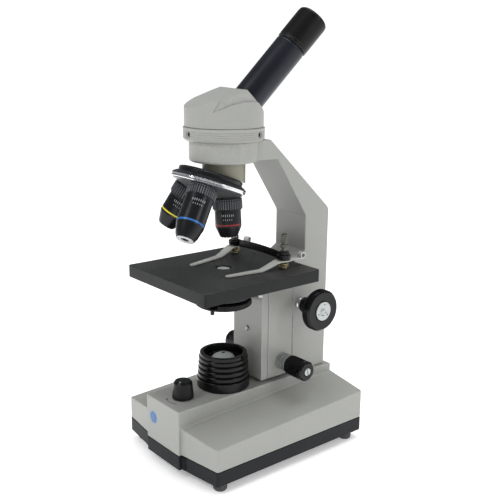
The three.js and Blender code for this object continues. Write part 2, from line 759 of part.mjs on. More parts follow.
function clipSpring(side) {
  const bottom = STAGE_TOP + FIT + WIRE_R;
  const top = ARM_LEVEL - CLIP_THICK / 2 - FIT - WIRE_R;
  const turns = 3;
  const count = 32;
  const points = [];
  for (let i = 0; i <= count; i++) {
    const angle = (i / count) * turns * 2 * Math.PI;
    const z = bottom + ((top - bottom) * i) / count;
    points.push(new THREE.Vector3(SPRING_R * Math.cos(angle), SPRING_R * Math.sin(angle), z));
  }
  const wire = new THREE.Shape();
  wire.absarc(0, 0, WIRE_R, 0, 2 * Math.PI, false);
  const geometry = new THREE.ExtrudeGeometry(wire, {
    steps: count,
    curveSegments: 3,
    bevelEnabled: false,
    extrudePath: new THREE.CatmullRomCurve3(points),
  });
  return moved(solid(geometry), side * POST_X, POST_Y, 0);
}

// A clip is a bent strip: a rolled tail behind the post, a ramp in front, and a flat tip on the slide.
function clipArm(side) {
  const [tipX, tipY] = side > 0 ? CLIP_TIP_RIGHT : CLIP_TIP_LEFT;
  const dx = tipX - side * POST_X;
  const dy = tipY - POST_Y;
  const reach = Math.hypot(dx, dy);
  const heading = Math.atan2(dy, dx);
  const low = STAGE_TOP + 0.5;
  const high = ARM_LEVEL - CLIP_THICK / 2;
  const t = CLIP_THICK;
  const path = [[-22, high], [7, high], [19, low + 1.6], [24, low], [reach, low]];
  const upper = path.map(([a, z]) => [a, z + t]).reverse();
  const ribbon = placed(
    solid(new THREE.ExtrudeGeometry(outline([...path, ...upper]), { depth: 14, bevelEnabled: false })),
    new THREE.Matrix4().makeRotationX(Math.PI / 2),
  );
  const strip = moved(ribbon, 0, 7, 0);
  const roll = placed(
    turned([[ROLL_R - t, -2.6], [ROLL_R, -2.6], [ROLL_R, 2.6], [ROLL_R - t, 2.6], [ROLL_R - t, -2.6]], 18),
    alongAxis(new THREE.Vector3(-19.6, 0, high + ROLL_R), new THREE.Vector3(0, 1, 0)),
  );
  const plan = [[-18, -3], [-6, -3.4], [-3, -5.2], [4, -5], [10, -4.4], [24, -3.6], [reach - 3, -2.6], [reach, -1.2]];
  const mirrored = plan.map(([a, b]) => [a, -b]).reverse();
  const rear = [[-19.6, 2.6], [-19.6, -2.6]];
  const shape = slab([...plan, ...mirrored, ...rear], STAGE_TOP - 5, ARM_LEVEL + 5);
  const clip = cut(joined(strip.intersect(shape), roll), drum(POST_R + RUN, STAGE_TOP, ARM_LEVEL + 5, 18));
  const turn = new THREE.Matrix4().makeRotationZ(heading);
  return moved(placed(clip, turn), side * POST_X, POST_Y, 0);
}

// A bowed strip between two eyes that sit over the clips on both posts.
function bridgeBar() {
  const bottom = EYE_BOTTOM;
  const path = [];
  const count = 10;
  for (let i = 0; i <= count; i++) {
    const t = i / count;
    const x = -POST_X + 2 * POST_X * t;
    path.push([x, bottom + 0.6 + BAR_RISE * Math.sin(Math.PI * t)]);
  }
  const upper = path.map(([x, z]) => [x, z + 1.8]).reverse();
  const bar = placed(
    solid(new THREE.ExtrudeGeometry(outline([...path, ...upper]), { depth: BAR_WIDE, bevelEnabled: false })),
    new THREE.Matrix4().makeRotationX(Math.PI / 2),
  );
  const left = moved(drum(EYE_R, bottom, bottom + 4, 18), -POST_X, 0, 0);
  const hub = [[0, bottom], [EYE_R, bottom], [EYE_R, bottom + 4], [EYE_R - 1.6, bottom + 4]];
  const right = moved(turned([...hub, [EYE_R - 1.6, bottom + 7], [0, bottom + 7]], 18), POST_X, 0, 0);
  const holes = [-1, 1].map((side) => moved(drum(POST_R + 0.1, bottom - 5, bottom + 15, 18), side * POST_X, 0, 0));
  return moved(cut(joined(moved(bar, 0, BAR_WIDE / 2, 0), left, right), ...holes), 0, POST_Y, 0);
}

// ---- Turret and objectives ----------------------------------------------------------------
const RADIANS = Math.PI / 180;
const APEX = new THREE.Vector3(0, AXIS_Y, APEX_Z);
const TURRET_AXIS = new THREE.Vector3(0, -Math.sin(TILT * RADIANS), -Math.cos(TILT * RADIANS));
const ON_TURRET = alongAxis(APEX, TURRET_AXIS);

// Direction of objective `index` at rest, pointing away from the apex.
function objectiveAxis(index) {
  const down = new THREE.Vector3(0, 0, -1);
  return down.applyAxisAngle(TURRET_AXIS, (TURRET_REST + 120 * index) * RADIANS);
}

function nosepieceNeck() {
  const shaft = moved(drum(NECK_R, APEX_Z - 50, PLATFORM_BOTTOM - FIT, 24), 0, AXIS_Y, 0);
  const below = placed(drum(80, PLATE_NEAR - FIT, 120, 18), ON_TURRET);
  const bore = moved(drum(LIGHT_BORE, APEX_Z - 60, HEAD_SEAT), 0, AXIS_Y, 0);
  return cut(shaft, below, bore);
}

function nosepiecePlate() {
  const disc = turned([
    [0, PLATE_NEAR],
    [PLATE_R - 2.5, PLATE_NEAR],
    [PLATE_R, PLATE_NEAR + 1.6],
    [PLATE_R, PLATE_FAR],
    [0, PLATE_FAR],
  ], 28);
  const light = moved(drum(9, APEX_Z - 60, HEAD_SEAT), 0, AXIS_Y, 0);
  const pivot = placed(drum(2.4, PLATE_NEAR + 1.6, PLATE_FAR + 5, 14), ON_TURRET);
  return cut(placed(disc, ON_TURRET), light, pivot);
}

// Distance along the turret axis of the seats' cone, at a radius from that axis.
function seatCone(radius) {
  return (SEAT - radius * Math.sin(TILT * RADIANS)) / Math.cos(TILT * RADIANS);
}

function turret() {
  const near = PLATE_FAR + FIT;
  const body = turned([
    [2.6, near],
    [29.4, near],
    [RIM_R - 0.3, RIM_NEAR - FIT],
    [30.6, RIM_NEAR - FIT],
    [30.6, RIM_FAR + FIT],
    [30.9, RIM_FAR + FIT],
    [24, seatCone(24) - 0.4],
    [11, seatCone(11) - 0.4],
    [7, 55.6],
    [7, 54],
    [2.6, 54],
    [2.6, near],
  ], 32);
  const ways = [0, 1, 2].map((index) => alongAxis(APEX, objectiveAxis(index)));
  const pads = ways.map((way) => placed(drum(PAD_R, SEAT - 3, SEAT + PAD_OUT), way));
  const threads = ways.map((way) => placed(drum(THREAD_R + FIT, 30, 70, 18), way));
  return cut(joined(placed(body, ON_TURRET), ...pads), ...threads);
}

function turretRim() {
  const inner = 30.6 + FIT;
  const body = turned([
    [inner, RIM_NEAR],
    [RIM_R - 0.5, RIM_NEAR],
    [RIM_R, RIM_NEAR + 0.7],
    [RIM_R, RIM_FAR - 0.7],
    [RIM_R - 0.5, RIM_FAR],
    [inner, RIM_FAR],
    [inner, RIM_NEAR],
  ], 32);
  return placed(body, ON_TURRET);
}

function turretScrew() {
  const head = drum(5.4, 54 + FIT, 56.6, 20);
  const pin = drum(2.2, PLATE_NEAR + 2, 55, 14);
  const slot = box(-6, 6, -0.5, 0.5, 55.8, 60);
  return placed(cut(joined(head, pin), slot), ON_TURRET);
}

// Radius and distance from the shoulder, from the thread to the front of the barrel.
const BARRELS = {
  objective_4x: [[12.9, 2.4], [12.9, 12.4], [11.4, 13], [11.4, 26.6], [10.9, 28], [7.8, 35.3], [7.2, 35.9]],
  objective_10x: [[12.9, 2.4], [12.9, 12.4], [11.5, 13], [11.5, 30.4], [11, 32], [7.8, 40.6], [7, 41.5]],
  objective_40x: [[12.9, 2.4], [12.8, 11.6], [11.8, 12.2], [11.8, 34.6], [11, 38], [9.6, 44.6], [7.4, 48.8]],
};

function objective(name, index) {
  const barrel = BARRELS[name];
  const front = barrel[barrel.length - 1][1];
  const bore = name === "objective_40x" ? 3 : 5.4;
  const points = [[6.4, SEAT - 3.6], [THREAD_R, SEAT - 3.6], [THREAD_R, SEAT + PAD_OUT + FIT]];
  for (const [r, d] of barrel) points.push([r, SEAT + d]);
  points.push([bore, SEAT + front], [bore, SEAT + front - 3], [6.4, SEAT + 20], [6.4, SEAT - 3.6]);
  return placed(turned(points, 18), alongAxis(APEX, objectiveAxis(index)));
}

// ---- Head ---------------------------------------------------------------------------------
const TUBE_AXIS = new THREE.Vector3(
  -Math.sin(HEAD_TILT * RADIANS) * Math.sin(HEAD_YAW * RADIANS),
  Math.sin(HEAD_TILT * RADIANS) * Math.cos(HEAD_YAW * RADIANS),
  Math.cos(HEAD_TILT * RADIANS),
);
const ON_TUBE = alongAxis(new THREE.Vector3(0, AXIS_Y, HEAD_AXIS_Z), TUBE_AXIS);
const SCREW_ANGLES = { collar_screw_front: -97, collar_screw_right: 23, collar_screw_left: 143 };
const SCREW_Z = 291;

function collarScrewMatrix(angle) {
  const way = new THREE.Vector3(Math.cos(angle * RADIANS), Math.sin(angle * RADIANS), 0);
  return alongAxis(new THREE.Vector3(0, AXIS_Y, SCREW_Z), way);
}

function headCollar() {
  const bottom = HEAD_SEAT + FIT;
  const body = moved(ring(SPIGOT_R + FIT, HEAD_COLLAR_R, bottom, COLLAR_TOP, 32), 0, AXIS_Y, 0);
  const holes = Object.values(SCREW_ANGLES).map((angle) => placed(drum(2.1, 20, 40, 14), collarScrewMatrix(angle)));
  return cut(body, ...holes);
}

function collarScrew(angle) {
  const body = drum(1.8, SPIGOT_R + 2 * FIT, HEAD_COLLAR_R - 0.8, 14);
  const socket = drum(0.9, HEAD_COLLAR_R - 3, HEAD_COLLAR_R + 1, 6);
  return placed(cut(body, socket), collarScrewMatrix(angle));
}

// Everything above a plane through the ridge that falls away by `tilt` towards +Y or -Y.
function aboveSlope(way, tilt) {
  const block = box(-60, 60, -80, 80, 0, 60);
  const lean = new THREE.Matrix4().makeRotationX(-way * tilt * RADIANS);
  const shift = new THREE.Matrix4().makeTranslation(0, RIDGE_OUT, RIDGE_Z);
  const yaw = new THREE.Matrix4().makeRotationZ(HEAD_YAW * RADIANS);
  const home = new THREE.Matrix4().makeTranslation(0, AXIS_Y, 0);
  return placed(block, home.multiply(yaw).multiply(shift).multiply(lean));
}

function headBody() {
  const bottom = COLLAR_TOP + FIT;
  const shell = moved(drum(HEAD_R, bottom, RIDGE_Z + 10, 32), 0, AXIS_Y, 0);
  const shaped = cut(shell, aboveSlope(1, HEAD_TILT), aboveSlope(-1, HEAD_FRONT_TILT));
  const spigot = moved(drum(SPIGOT_R, HEAD_SEAT + FIT, bottom + 1, 28), 0, AXIS_Y, 0);
  const cavity = moved(drum(18, HEAD_SEAT, 309, 20), 0, AXIS_Y, 0);
  const passage = placed(drum(TUBE_BORE, 0, 60, 18), ON_TUBE);
  return cut(joined(shaped, spigot), cavity, passage);
}

function prism() {
  const block = box(-8, 8, -8, 8, 285, 300);
  const slope = prismX([[-30, 300], [-9, 285], [-30, 285]], -20, 20);
  const yaw = new THREE.Matrix4().makeRotationZ(HEAD_YAW * RADIANS);
  return moved(placed(cut(block, slope), yaw), 0, AXIS_Y, 0);
}

function eyepieceTube() {
  return placed(ring(TUBE_BORE, TUBE_R, TUBE_START, TUBE_END, 24), ON_TUBE);
}

function eyepiece() {
  const start = TUBE_END + FIT;
  const end = EYEPIECE_END;
  const points = [
    [BARREL_R - 1.4, TUBE_END - 26],
    [BARREL_R, TUBE_END - 26],
    [BARREL_R, start],
    [EYEPIECE_R - 1, start],
    [EYEPIECE_R, start + 0.8],
    [EYEPIECE_R, end - 3],
    [EYEPIECE_R - 0.8, end - 0.8],
    [EYEPIECE_R - 2.4, end],
    [EYEPIECE_R - 4, end - 0.6],
    [9.3, end - 3],
    [9.3, end - 9],
    [8, end - 9],
    [8, start + 4],
    [BARREL_R - 1.4, start + 4],
    [BARREL_R - 1.4, TUBE_END - 26],
  ];
  return placed(turned(points, 24), ON_TUBE);
}

function eyeLens() {
  const end = EYEPIECE_END;
  const points = [[0, end - 8.4], [9, end - 8.4], [9, end - 5.4], [6, end - 4.3], [0, end - 3.8]];
  return placed(turned(points, 18), ON_TUBE);
}

// ---- Assembly -----------------------------------------------------------------------------
node("base_cover", baseCover(), PAINT);
node("bottom_plate", bottomPlate(), TRAY);
node("foot_front_left", moved(foot(), -FOOT_X, FOOT_FRONT, 0), RUBBER);
node("foot_front_right", moved(foot(), FOOT_X, FOOT_FRONT, 0), RUBBER);
node("foot_rear_left", moved(foot(), -FOOT_X, FOOT_REAR, 0), RUBBER);
node("foot_rear_right", moved(foot(), FOOT_X, FOOT_REAR, 0), RUBBER);
node("dc_inlet", inlet(), BLACK);
node("dimmer_knob", dimmerKnob(), BLACK);
node("dimmer_control", dimmerControl(), BLACK);
node("illuminator_housing", tower(), BLACK);
node("collector_lens", collectorLens(), GLASS);
node("led_board", ledBoard(), BOARD);
node("arm", armCasting(), PAINT);
node("pinion_shaft", pinionShaft(), SILVER);
node("rack", rack(), BRASS);
for (const [word, side] of [["left", -1], ["right", 1]]) {
  node(`coarse_knob_${word}`, coarseKnob(side), BLACK);
  node(`coarse_cap_${word}`, coarseCap(side), SILVER);
  node(`shaft_collar_${word}`, shaftCollar(side), CHROME);
  node(`fine_knob_${word}`, fineKnob(side), BLACK);
  node(`fine_neck_${word}`, fineNeck(side), SILVER);
  node(`fine_screw_${word}`, fineScrew(side), SILVER);
  node(`clip_post_${word}`, clipPost(side), SILVER);
  node(`clip_spring_${word}`, clipSpring(side), BRASS);
  node(`clip_arm_${word}`, clipArm(side), SILVER);
}
node("carriage", carriage(), PAINT);
node("fine_shaft", fineShaft(), SILVER);
node("stage_bracket", stageBracket(), PAINT);
node("bracket_screw", bracketScrew(), SILVER);
node("stage_screw", stageScrew(), SILVER);
node("stage_plate", stagePlate(), SATIN);
node("condenser_housing", condenserHousing(), BLACK);
node("condenser_lens", condenserLens(), GLASS);
node("iris_ring", irisRing(), BLACK);
node("clip_bridge_bar", bridgeBar(), SATIN);
node("nosepiece_neck", nosepieceNeck(), CREAM);
node("nosepiece_plate", nosepiecePlate(), SATIN);
node("turret", turret(), SATIN);
node("turret_rim", turretRim(), CHROME);
node("turret_screw", turretScrew(), SILVER);
Object.keys(BARRELS).forEach((name) => {
  const index = { objective_4x: 0, objective_40x: 1, objective_10x: 2 }[name];
  node(name, objective(name, index), BLACK);
});
node("head_collar", headCollar(), PAINT);
for (const [name, angle] of Object.entries(SCREW_ANGLES)) node(name, collarScrew(angle), SATIN);
node("head_body", headBody(), PAINT);
node("prism", prism(), GLASS);
node("eyepiece_tube", eyepieceTube(), SATIN);
node("eyepiece", eyepiece(), BLACK);
node("eye_lens", eyeLens(), GLASS);

export default group;
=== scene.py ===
"""A student's compound microscope: the looks of every piece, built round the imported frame.

Sizes are in millimetres until a piece is finished, and in metres from then on. +Z is up, the user
faces -Y, and the arm stands at +Y.
"""

import logging  # noqa: E402
import math  # noqa: E402
from dataclasses import dataclass, field  # noqa: E402
from enum import Enum  # noqa: E402
from typing import Any, Iterable, Sequence  # noqa: E402

import bmesh  # noqa: E402
import bpy  # noqa: E402
from mathutils import Matrix, Vector  # noqa: E402

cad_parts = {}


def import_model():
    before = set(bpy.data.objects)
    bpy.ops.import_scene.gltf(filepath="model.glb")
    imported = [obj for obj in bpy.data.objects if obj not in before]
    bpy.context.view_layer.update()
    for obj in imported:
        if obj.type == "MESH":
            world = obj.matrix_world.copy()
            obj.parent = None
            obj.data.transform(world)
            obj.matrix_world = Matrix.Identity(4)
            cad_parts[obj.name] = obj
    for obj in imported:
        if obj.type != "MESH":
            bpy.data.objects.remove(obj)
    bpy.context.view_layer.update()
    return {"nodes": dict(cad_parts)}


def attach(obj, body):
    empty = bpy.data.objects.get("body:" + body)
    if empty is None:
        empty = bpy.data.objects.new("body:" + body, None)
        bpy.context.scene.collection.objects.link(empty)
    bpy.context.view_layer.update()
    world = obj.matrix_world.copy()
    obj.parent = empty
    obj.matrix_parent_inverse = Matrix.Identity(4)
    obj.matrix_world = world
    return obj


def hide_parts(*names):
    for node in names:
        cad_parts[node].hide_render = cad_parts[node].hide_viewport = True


log = logging.getLogger("microscope")

MM = 0.001
Point2 = tuple[float, float]
Colour = tuple[float, float, float]


def tone(red: int, green: int, blue: int) -> Colour:
    """Turns a display colour of 0 to 255 into a linear one."""
    return tuple(((c / 255 + 0.055) / 1.055) ** 2.4 if c > 10 else c / 3294.6 for c in (red, green, blue))


def along(origin: Sequence[float], axis: Sequence[float]) -> Matrix:
    """Lays what is made along +Z on an axis.

    Args:
        origin: where the maker's zero point goes.
        axis: the way that +Z comes to point.

    Returns:
        The matrix that does it.
    """
    turn = Vector((0, 0, 1)).rotation_difference(Vector(axis).normalized())
    return Matrix.Translation(Vector(origin)) @ turn.to_matrix().to_4x4()


def spin(degrees: float) -> Matrix:
    """A turn about +Z."""
    return Matrix.Rotation(math.radians(degrees), 4, "Z")


def polar(radius: float, degrees: float) -> Point2:
    """The point at a radius and an angle."""
    return radius * math.cos(math.radians(degrees)), radius * math.sin(math.radians(degrees))


# ---- Node graphs --------------------------------------------------------------------------


class Graph:
    """Adds nodes to a tree and joins them."""

    def __init__(self, tree: bpy.types.NodeTree) -> None:
        """Takes the tree to work on."""
        self.tree = tree

    def add(self, kind: str, sockets: dict[Any, Any] | None = None, **settings: Any) -> bpy.types.Node:
        """Adds a node.

        Args:
            kind: the node's type.
            sockets: what each input holds or is joined to, by name or number.
            **settings: the node's own properties.

        Returns:
            The node.
        """
        node = self.tree.nodes.new(kind)
        for name, value in settings.items():
            setattr(node, name, value)
        for key, value in (sockets or {}).items():
            if isinstance(value, bpy.types.NodeSocket):
                self.tree.links.new(value, node.inputs[key])
            else:
                node.inputs[key].default_value = value
        return node

    def math(self, operation: str, *values: Any, clamp: bool = False) -> bpy.types.NodeSocket:
        """The result of one sum on numbers or sockets.

        Args:
            operation: the sum.
            *values: the numbers or sockets it takes.
            clamp: whether the result stays between 0 and 1.

        Returns:
            The socket that holds the result.
        """
        kind = "ShaderNodeMath"
        node = self.add(kind, dict(enumerate(values)), operation=operation, use_clamp=clamp)
        return node.outputs[0]


class PatternTree(Graph):
    """A Geometry Nodes tree with named inputs, which grows one repeated or swept feature."""

    def __init__(self, name: str, inputs: dict[str, str]) -> None:
        """Makes the tree with its inputs.

        Args:
            name: the tree's name.
            inputs: each input's name and kind, without the leading NodeSocket.
        """
        super().__init__(bpy.data.node_groups.new(name, "GeometryNodeTree"))
        sides = self.tree.interface
        sides.new_socket("Geometry", in_out="OUTPUT", socket_type="NodeSocketGeometry")
        for label, kind in {**inputs, "Material": "Material"}.items():
            sides.new_socket(label, in_out="INPUT", socket_type="NodeSocket" + kind)
        self.given = self.tree.nodes.new("NodeGroupInput").outputs

    def close(self, geometry: bpy.types.NodeSocket) -> None:
        """Ends the tree in Realize Instances and Set Material.

        Args:
            geometry: what the tree has made.
        """
        real = self.add("GeometryNodeRealizeInstances", {0: geometry})
        dressed = self.add("GeometryNodeSetMaterial", {0: real.outputs[0], "Material": self.given["Material"]})
        self.add("NodeGroupOutput", {0: dressed.outputs[0]})

    def grow(self, material: bpy.types.Material, **values: Any) -> "Shape":
        """Grows the feature.

        Args:
            material: what Set Material gives it.
            **values: the inputs by name, with _ for a space.

        Returns:
            The feature as a plain mesh.
        """
        holder = bpy.data.objects.new("growth", bpy.data.meshes.new("growth"))
        bpy.context.scene.collection.objects.link(holder)
        modifier = holder.modifiers.new("pattern", "NODES")
        modifier.node_group = self.tree
        wanted = {name.replace("_", " "): value for name, value in values.items()}
        wanted["Material"] = material
        for item in self.tree.interface.items_tree:
            if item.in_out == "INPUT":
                modifier[item.identifier] = wanted[item.name]
        deps = bpy.context.evaluated_depsgraph_get()
        mesh = bpy.data.meshes.new_from_object(holder.evaluated_get(deps), depsgraph=deps)
        holder.modifiers.remove(modifier)
        bpy.data.objects.remove(holder)
        return Shape(mesh)


# ---- Solids -------------------------------------------------------------------------------


def filleted(profile: Sequence[Point2], radius: float, steps: int = 4) -> list[tuple[float, float, float]]:
    """Rounds the corners of a section.

    Args:
        profile: radius and height pairs, once round the section.
        radius: the fillet, which is smaller where a side is short.
        steps: points on each fillet, less one.

    Returns:
        Radius, height and a mark that is 1 in the middle of an outer corner.
    """
    points = list(profile)
    shut = points[0] == points[-1]
    if shut:
        points.pop()
    area = sum(a[0] * b[1] - b[0] * a[1] for a, b in zip(points, points[1:] + points[:1]))
    made: list[tuple[float, float, float]] = []
    count = len(points)
    for i, (r, z) in enumerate(points):
        if not shut and i in (0, count - 1) or r < 1e-6:
            made.append((r, z, 0.0))
            continue
        here = Vector((r, z))
        before, after = Vector(points[i - 1]) - here, Vector(points[(i + 1) % count]) - here
        if before.length < 1e-6 or after.length < 1e-6:
            made.append((r, z, 0.0))
            continue
        bend = before.angle(after)
        if bend > math.radians(166):
            made.append((r, z, 0.0))
            continue
        reach = min(radius / math.tan(bend / 2), before.length * 0.42, after.length * 0.42)
        start, end = here + before.normalized() * reach, here + after.normalized() * reach
        outer = (before.x * after.y - before.y * after.x) * area < 0
        for k in range(steps + 1):
            t = k / steps
            spot = start.lerp(here, t).lerp(here.lerp(end, t), t)
            made.append((spot.x, spot.y, math.sin(math.pi * t) * min(1.0, 0.6 / max(reach, 0.01)) if outer else 0.0))
    if shut:
        made.append(made[0])
    return made


def ran(mesh: bpy.types.Mesh, *steps: tuple[str, dict[str, Any]]) -> bpy.types.Mesh:
    """Runs modifiers over a mesh.

    Args:
        mesh: the mesh to start from.
        *steps: each modifier's kind and its settings, in order.

    Returns:
        The result as a plain mesh.
    """
    holder = bpy.data.objects.new("holder", mesh)
    bpy.context.scene.collection.objects.link(holder)
    for kind, settings in steps:
        modifier = holder.modifiers.new(kind, kind)
        for name, value in settings.items():
            setattr(modifier, name, value)
    deps = bpy.context.evaluated_depsgraph_get()
    made = bpy.data.meshes.new_from_object(
        holder.evaluated_get(deps), preserve_all_data_layers=True, depsgraph=deps
    )
    bpy.data.objects.remove(holder)
    return made


class Shape:
    """A closed solid in millimetres, on its way to becoming a piece."""

    def __init__(self, mesh: bpy.types.Mesh) -> None:
        """Takes the mesh."""
        self.mesh = mesh

    @classmethod
    def lathe(cls, profile: Sequence[Point2], fillet: float = 0.3, steps: int = 72) -> "Shape":
        """Turns a section about +Z.

        Args:
            profile: radius and height pairs, from the axis round and back, or closed on itself.
            fillet: how far corners are rounded.
            steps: facets round the axis.

        Returns:
            The solid, with a UV map of metres round and along, and outer corners marked.
        """
        section = filleted(profile, fillet)
        tidy = [section[0]]
        for spot in section[1:]:
            if math.dist(spot[:2], tidy[-1][:2]) > 1e-5:
                tidy.append(spot)
        shut = math.dist(tidy[0][:2], tidy[-1][:2]) < 1e-5
        if shut:
            tidy.pop()
        verts, marks, rows, run = [], [], [], [0.0]
        for i, (r, z, mark) in enumerate(tidy):
            if i:
                run.append(run[-1] + math.dist((r, z), tidy[i - 1][:2]))
            if r < 1e-6:
                rows.append([len(verts)] * steps)
                verts.append((0.0, 0.0, z))
                marks.append(mark)
                continue
            rows.append(list(range(len(verts), len(verts) + steps)))
            verts += [(*polar(r, 360 * k / steps), z) for k in range(steps)]
            marks += [mark] * steps
        widest = max(r for r, _, _ in tidy)
        faces, uvs = [], []
        pairs = list(zip(range(len(rows) - 1), range(1, len(rows)))) + ([(len(rows) - 1, 0)] if shut else [])
        for a, b in pairs:
            low, high = run[a], run[b] if b else run[-1] + 1
            for k in range(steps):
                n = (k + 1) % steps
                loop = [(rows[a][k], k, low), (rows[a][n], k + 1, low)]
                loop += [(rows[b][n], k + 1, high), (rows[b][k], k, high)]
                kept = [c for i, c in enumerate(loop) if c[0] not in [d[0] for d in loop[:i]]]
                if len(kept) > 2:
                    faces.append([c[0] for c in kept])
                    uvs += [(math.tau * widest * c[1] / steps * MM, c[2] * MM) for c in kept]
        mesh = bpy.data.meshes.new("lathe")
        mesh.from_pydata(verts, [], faces)
        layer = mesh.uv_layers.new(name="UVMap")
        for spot, uv in zip(layer.data, uvs):
            spot.uv = uv
        edge = mesh.attributes.new("edge", "FLOAT", "POINT")
        edge.data.foreach_set("value", marks)
        return cls(mesh).outward()

    @classmethod
    def prism(cls, outline: Sequence[Point2], low: float, high: float, across: bool = False) -> "Shape":
        """A straight prism.

        Args:
            outline: its section, in X and Y, or in Y and Z if it lies across.
            low: where it starts, along Z or along X.
            high: where it ends.
            across: whether it lies along X.

        Returns:
            The solid.
        """
        count = len(outline)
        spots = [(v, a, b) if across else (a, b, v) for v in (low, high) for a, b in outline]
        faces = [list(range(count))[::-1], list(range(count, 2 * count))]
        faces += [[k, (k + 1) % count, count + (k + 1) % count, count + k] for k in range(count)]
        mesh = bpy.data.meshes.new("prism")
        mesh.from_pydata(spots, [], faces)
        return cls(mesh).outward()

    @classmethod
    def block(cls, *sides: float) -> "Shape":
        """A box from x0, x1, y0, y1, z0 and z1."""
        x0, x1, y0, y1, z0, z1 = sides
        return cls.prism([(x0, y0), (x1, y0), (x1, y1), (x0, y1)], z0, z1)

    def outward(self) -> "Shape":
        """Points every face outwards.

        Returns:
            The same solid.
        """
        build = bmesh.new()
        build.from_mesh(self.mesh)
        bmesh.ops.remove_doubles(build, verts=build.verts, dist=1e-4)
        bmesh.ops.recalc_face_normals(build, faces=build.faces)
        build.to_mesh(self.mesh)
        build.free()
        return self

    def moved(self, matrix: Matrix) -> "Shape":
        """The solid in another place."""
        self.mesh.transform(matrix)
        return self

    def shifted(self, x: float, y: float, z: float = 0.0) -> "Shape":
        """The solid, slid."""
        return self.moved(Matrix.Translation((x, y, z)))

    def _with(self, others: Iterable["Shape"], operation: str) -> "Shape":
        """Runs a Boolean with each of the other solids.

        Args:
            others: the solids to run it with, in order.
            operation: the Boolean's operation.

        Returns:
            The same solid.
        """
        for other in others:
            tool = bpy.data.objects.new("tool", other.mesh)
            bpy.context.scene.collection.objects.link(tool)
            step = {"operation": operation, "solver": "EXACT", "object": tool}
            self.mesh = ran(self.mesh, ("BOOLEAN", step))
            bpy.data.objects.remove(tool)
        return self

    def cut(self, *tools: "Shape") -> "Shape":
        """What is left when the tools are taken away."""
        return self._with(tools, "DIFFERENCE")

    def joined(self, *others: "Shape") -> "Shape":
        """This solid and others as one."""
        return self._with(others, "UNION")

    def common(self, *others: "Shape") -> "Shape":
        """What lies in this solid and in the others."""
        return self._with(others, "INTERSECT")

    def rounded(self, width: float, segments: int = 3, angle: float = 25) -> "Shape":
        """Rounds the sharp edges, and marks what it rounded.

        Args:
            width: the rounding.
            segments: facets over each edge.
            angle: edges that turn by more than this many degrees are rounded.

        Returns:
            The solid.
        """
        mesh = self.mesh
        mesh.materials.clear()
        mesh.materials.append(None)
        mesh.materials.append(None)
        mesh.polygons.foreach_set("material_index", [0] * len(mesh.polygons))
        settings = {"width": width, "segments": segments, "limit_method": "ANGLE", "material": 1}
        settings["angle_limit"] = math.radians(angle)
        made = ran(mesh, ("BEVEL", settings))
        inner = [1.0] * len(made.vertices)
        for face in made.polygons:
            if face.material_index != 1:
                for v in face.vertices:
                    inner[v] = 0.0
            face.material_index = 0
        attribute = made.attributes.get("edge") or made.attributes.new("edge", "FLOAT", "POINT")
        attribute.data.foreach_set("value", inner)
        self.mesh = made
        return self

    def piece(
        self, name: str, body: str, finish: "Finish", slot: str, replaces: Sequence[str] = (), crease: float = 32
    ) -> bpy.types.Object:
        """Finishes the solid as a piece of the object.

        Args:
            name: the piece's name.
            body: the body it rides on.
            finish: its material's maker.
            slot: the record's material slot; not used.
            replaces: the frame's nodes that it stands for.
            crease: edges that turn by more than this many degrees stay sharp.

        Returns:
            The piece, at the origin.
        """
        self.outward()
        self.mesh.transform(Matrix.Scale(MM, 4))
        self.mesh.materials.clear()
        self.mesh.materials.append(finish.material())
        self.mesh.polygons.foreach_set("material_index", [0] * len(self.mesh.polygons))
        self.mesh.shade_smooth()
        self.mesh.set_sharp_from_angle(angle=math.radians(crease))
        made = ran(self.mesh, ("WEIGHTED_NORMAL", {"keep_sharp": True}))
        made.name = name
        item = bpy.data.objects.new(name, made)
        bpy.context.scene.collection.objects.link(item)
        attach(item, body)
        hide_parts(*replaces)
        log.info("%s: %d faces on %s", name, len(made.polygons), body)
        return item


def drum(radius: float, low: float, high: float, fillet: float = 0.3, steps: int = 72) -> Shape:
    """A plain turned cylinder."""
    return Shape.lathe([(0, low), (radius, low), (radius, high), (0, high)], fillet, steps)


def hoop(inner: float, outer: float, low: float, high: float, fillet: float = 0.3, steps: int = 72) -> Shape:
    """A turned ring."""
    profile = [(inner, low), (outer, low), (outer, high), (inner, high), (inner, low)]
    return Shape.lathe(profile, fillet, steps)


def soft_corners(corners: Sequence[tuple[float, float, float]], steps: int = 6) -> list[Point2]:
    """An outline whose corners are rounded.

    Args:
        corners: X, Y and radius of each corner.
        steps: how many steps a rounded corner has.

    Returns:
        The points of the closed outline.
    """
    made: list[Point2] = []
    count = len(corners)
    for i, (x, y, radius) in enumerate(corners):
        here = Vector((x, y))
        before, after = Vector(corners[i - 1][:2]) - here, Vector(corners[(i + 1) % count][:2]) - here
        if radius <= 0:
            made.append((x, y))
            continue
        reach = min(radius / math.tan(before.angle(after) / 2), before.length * 0.45, after.length * 0.45)
        start, end = here + before.normalized() * reach, here + after.normalized() * reach
        for k in range(steps + 1):
            spot = start.lerp(here, k / steps).lerp(here.lerp(end, k / steps), k / steps)
            made.append((spot.x, spot.y))
    return made


# ---- Repeated and swept features ----------------------------------------------------------


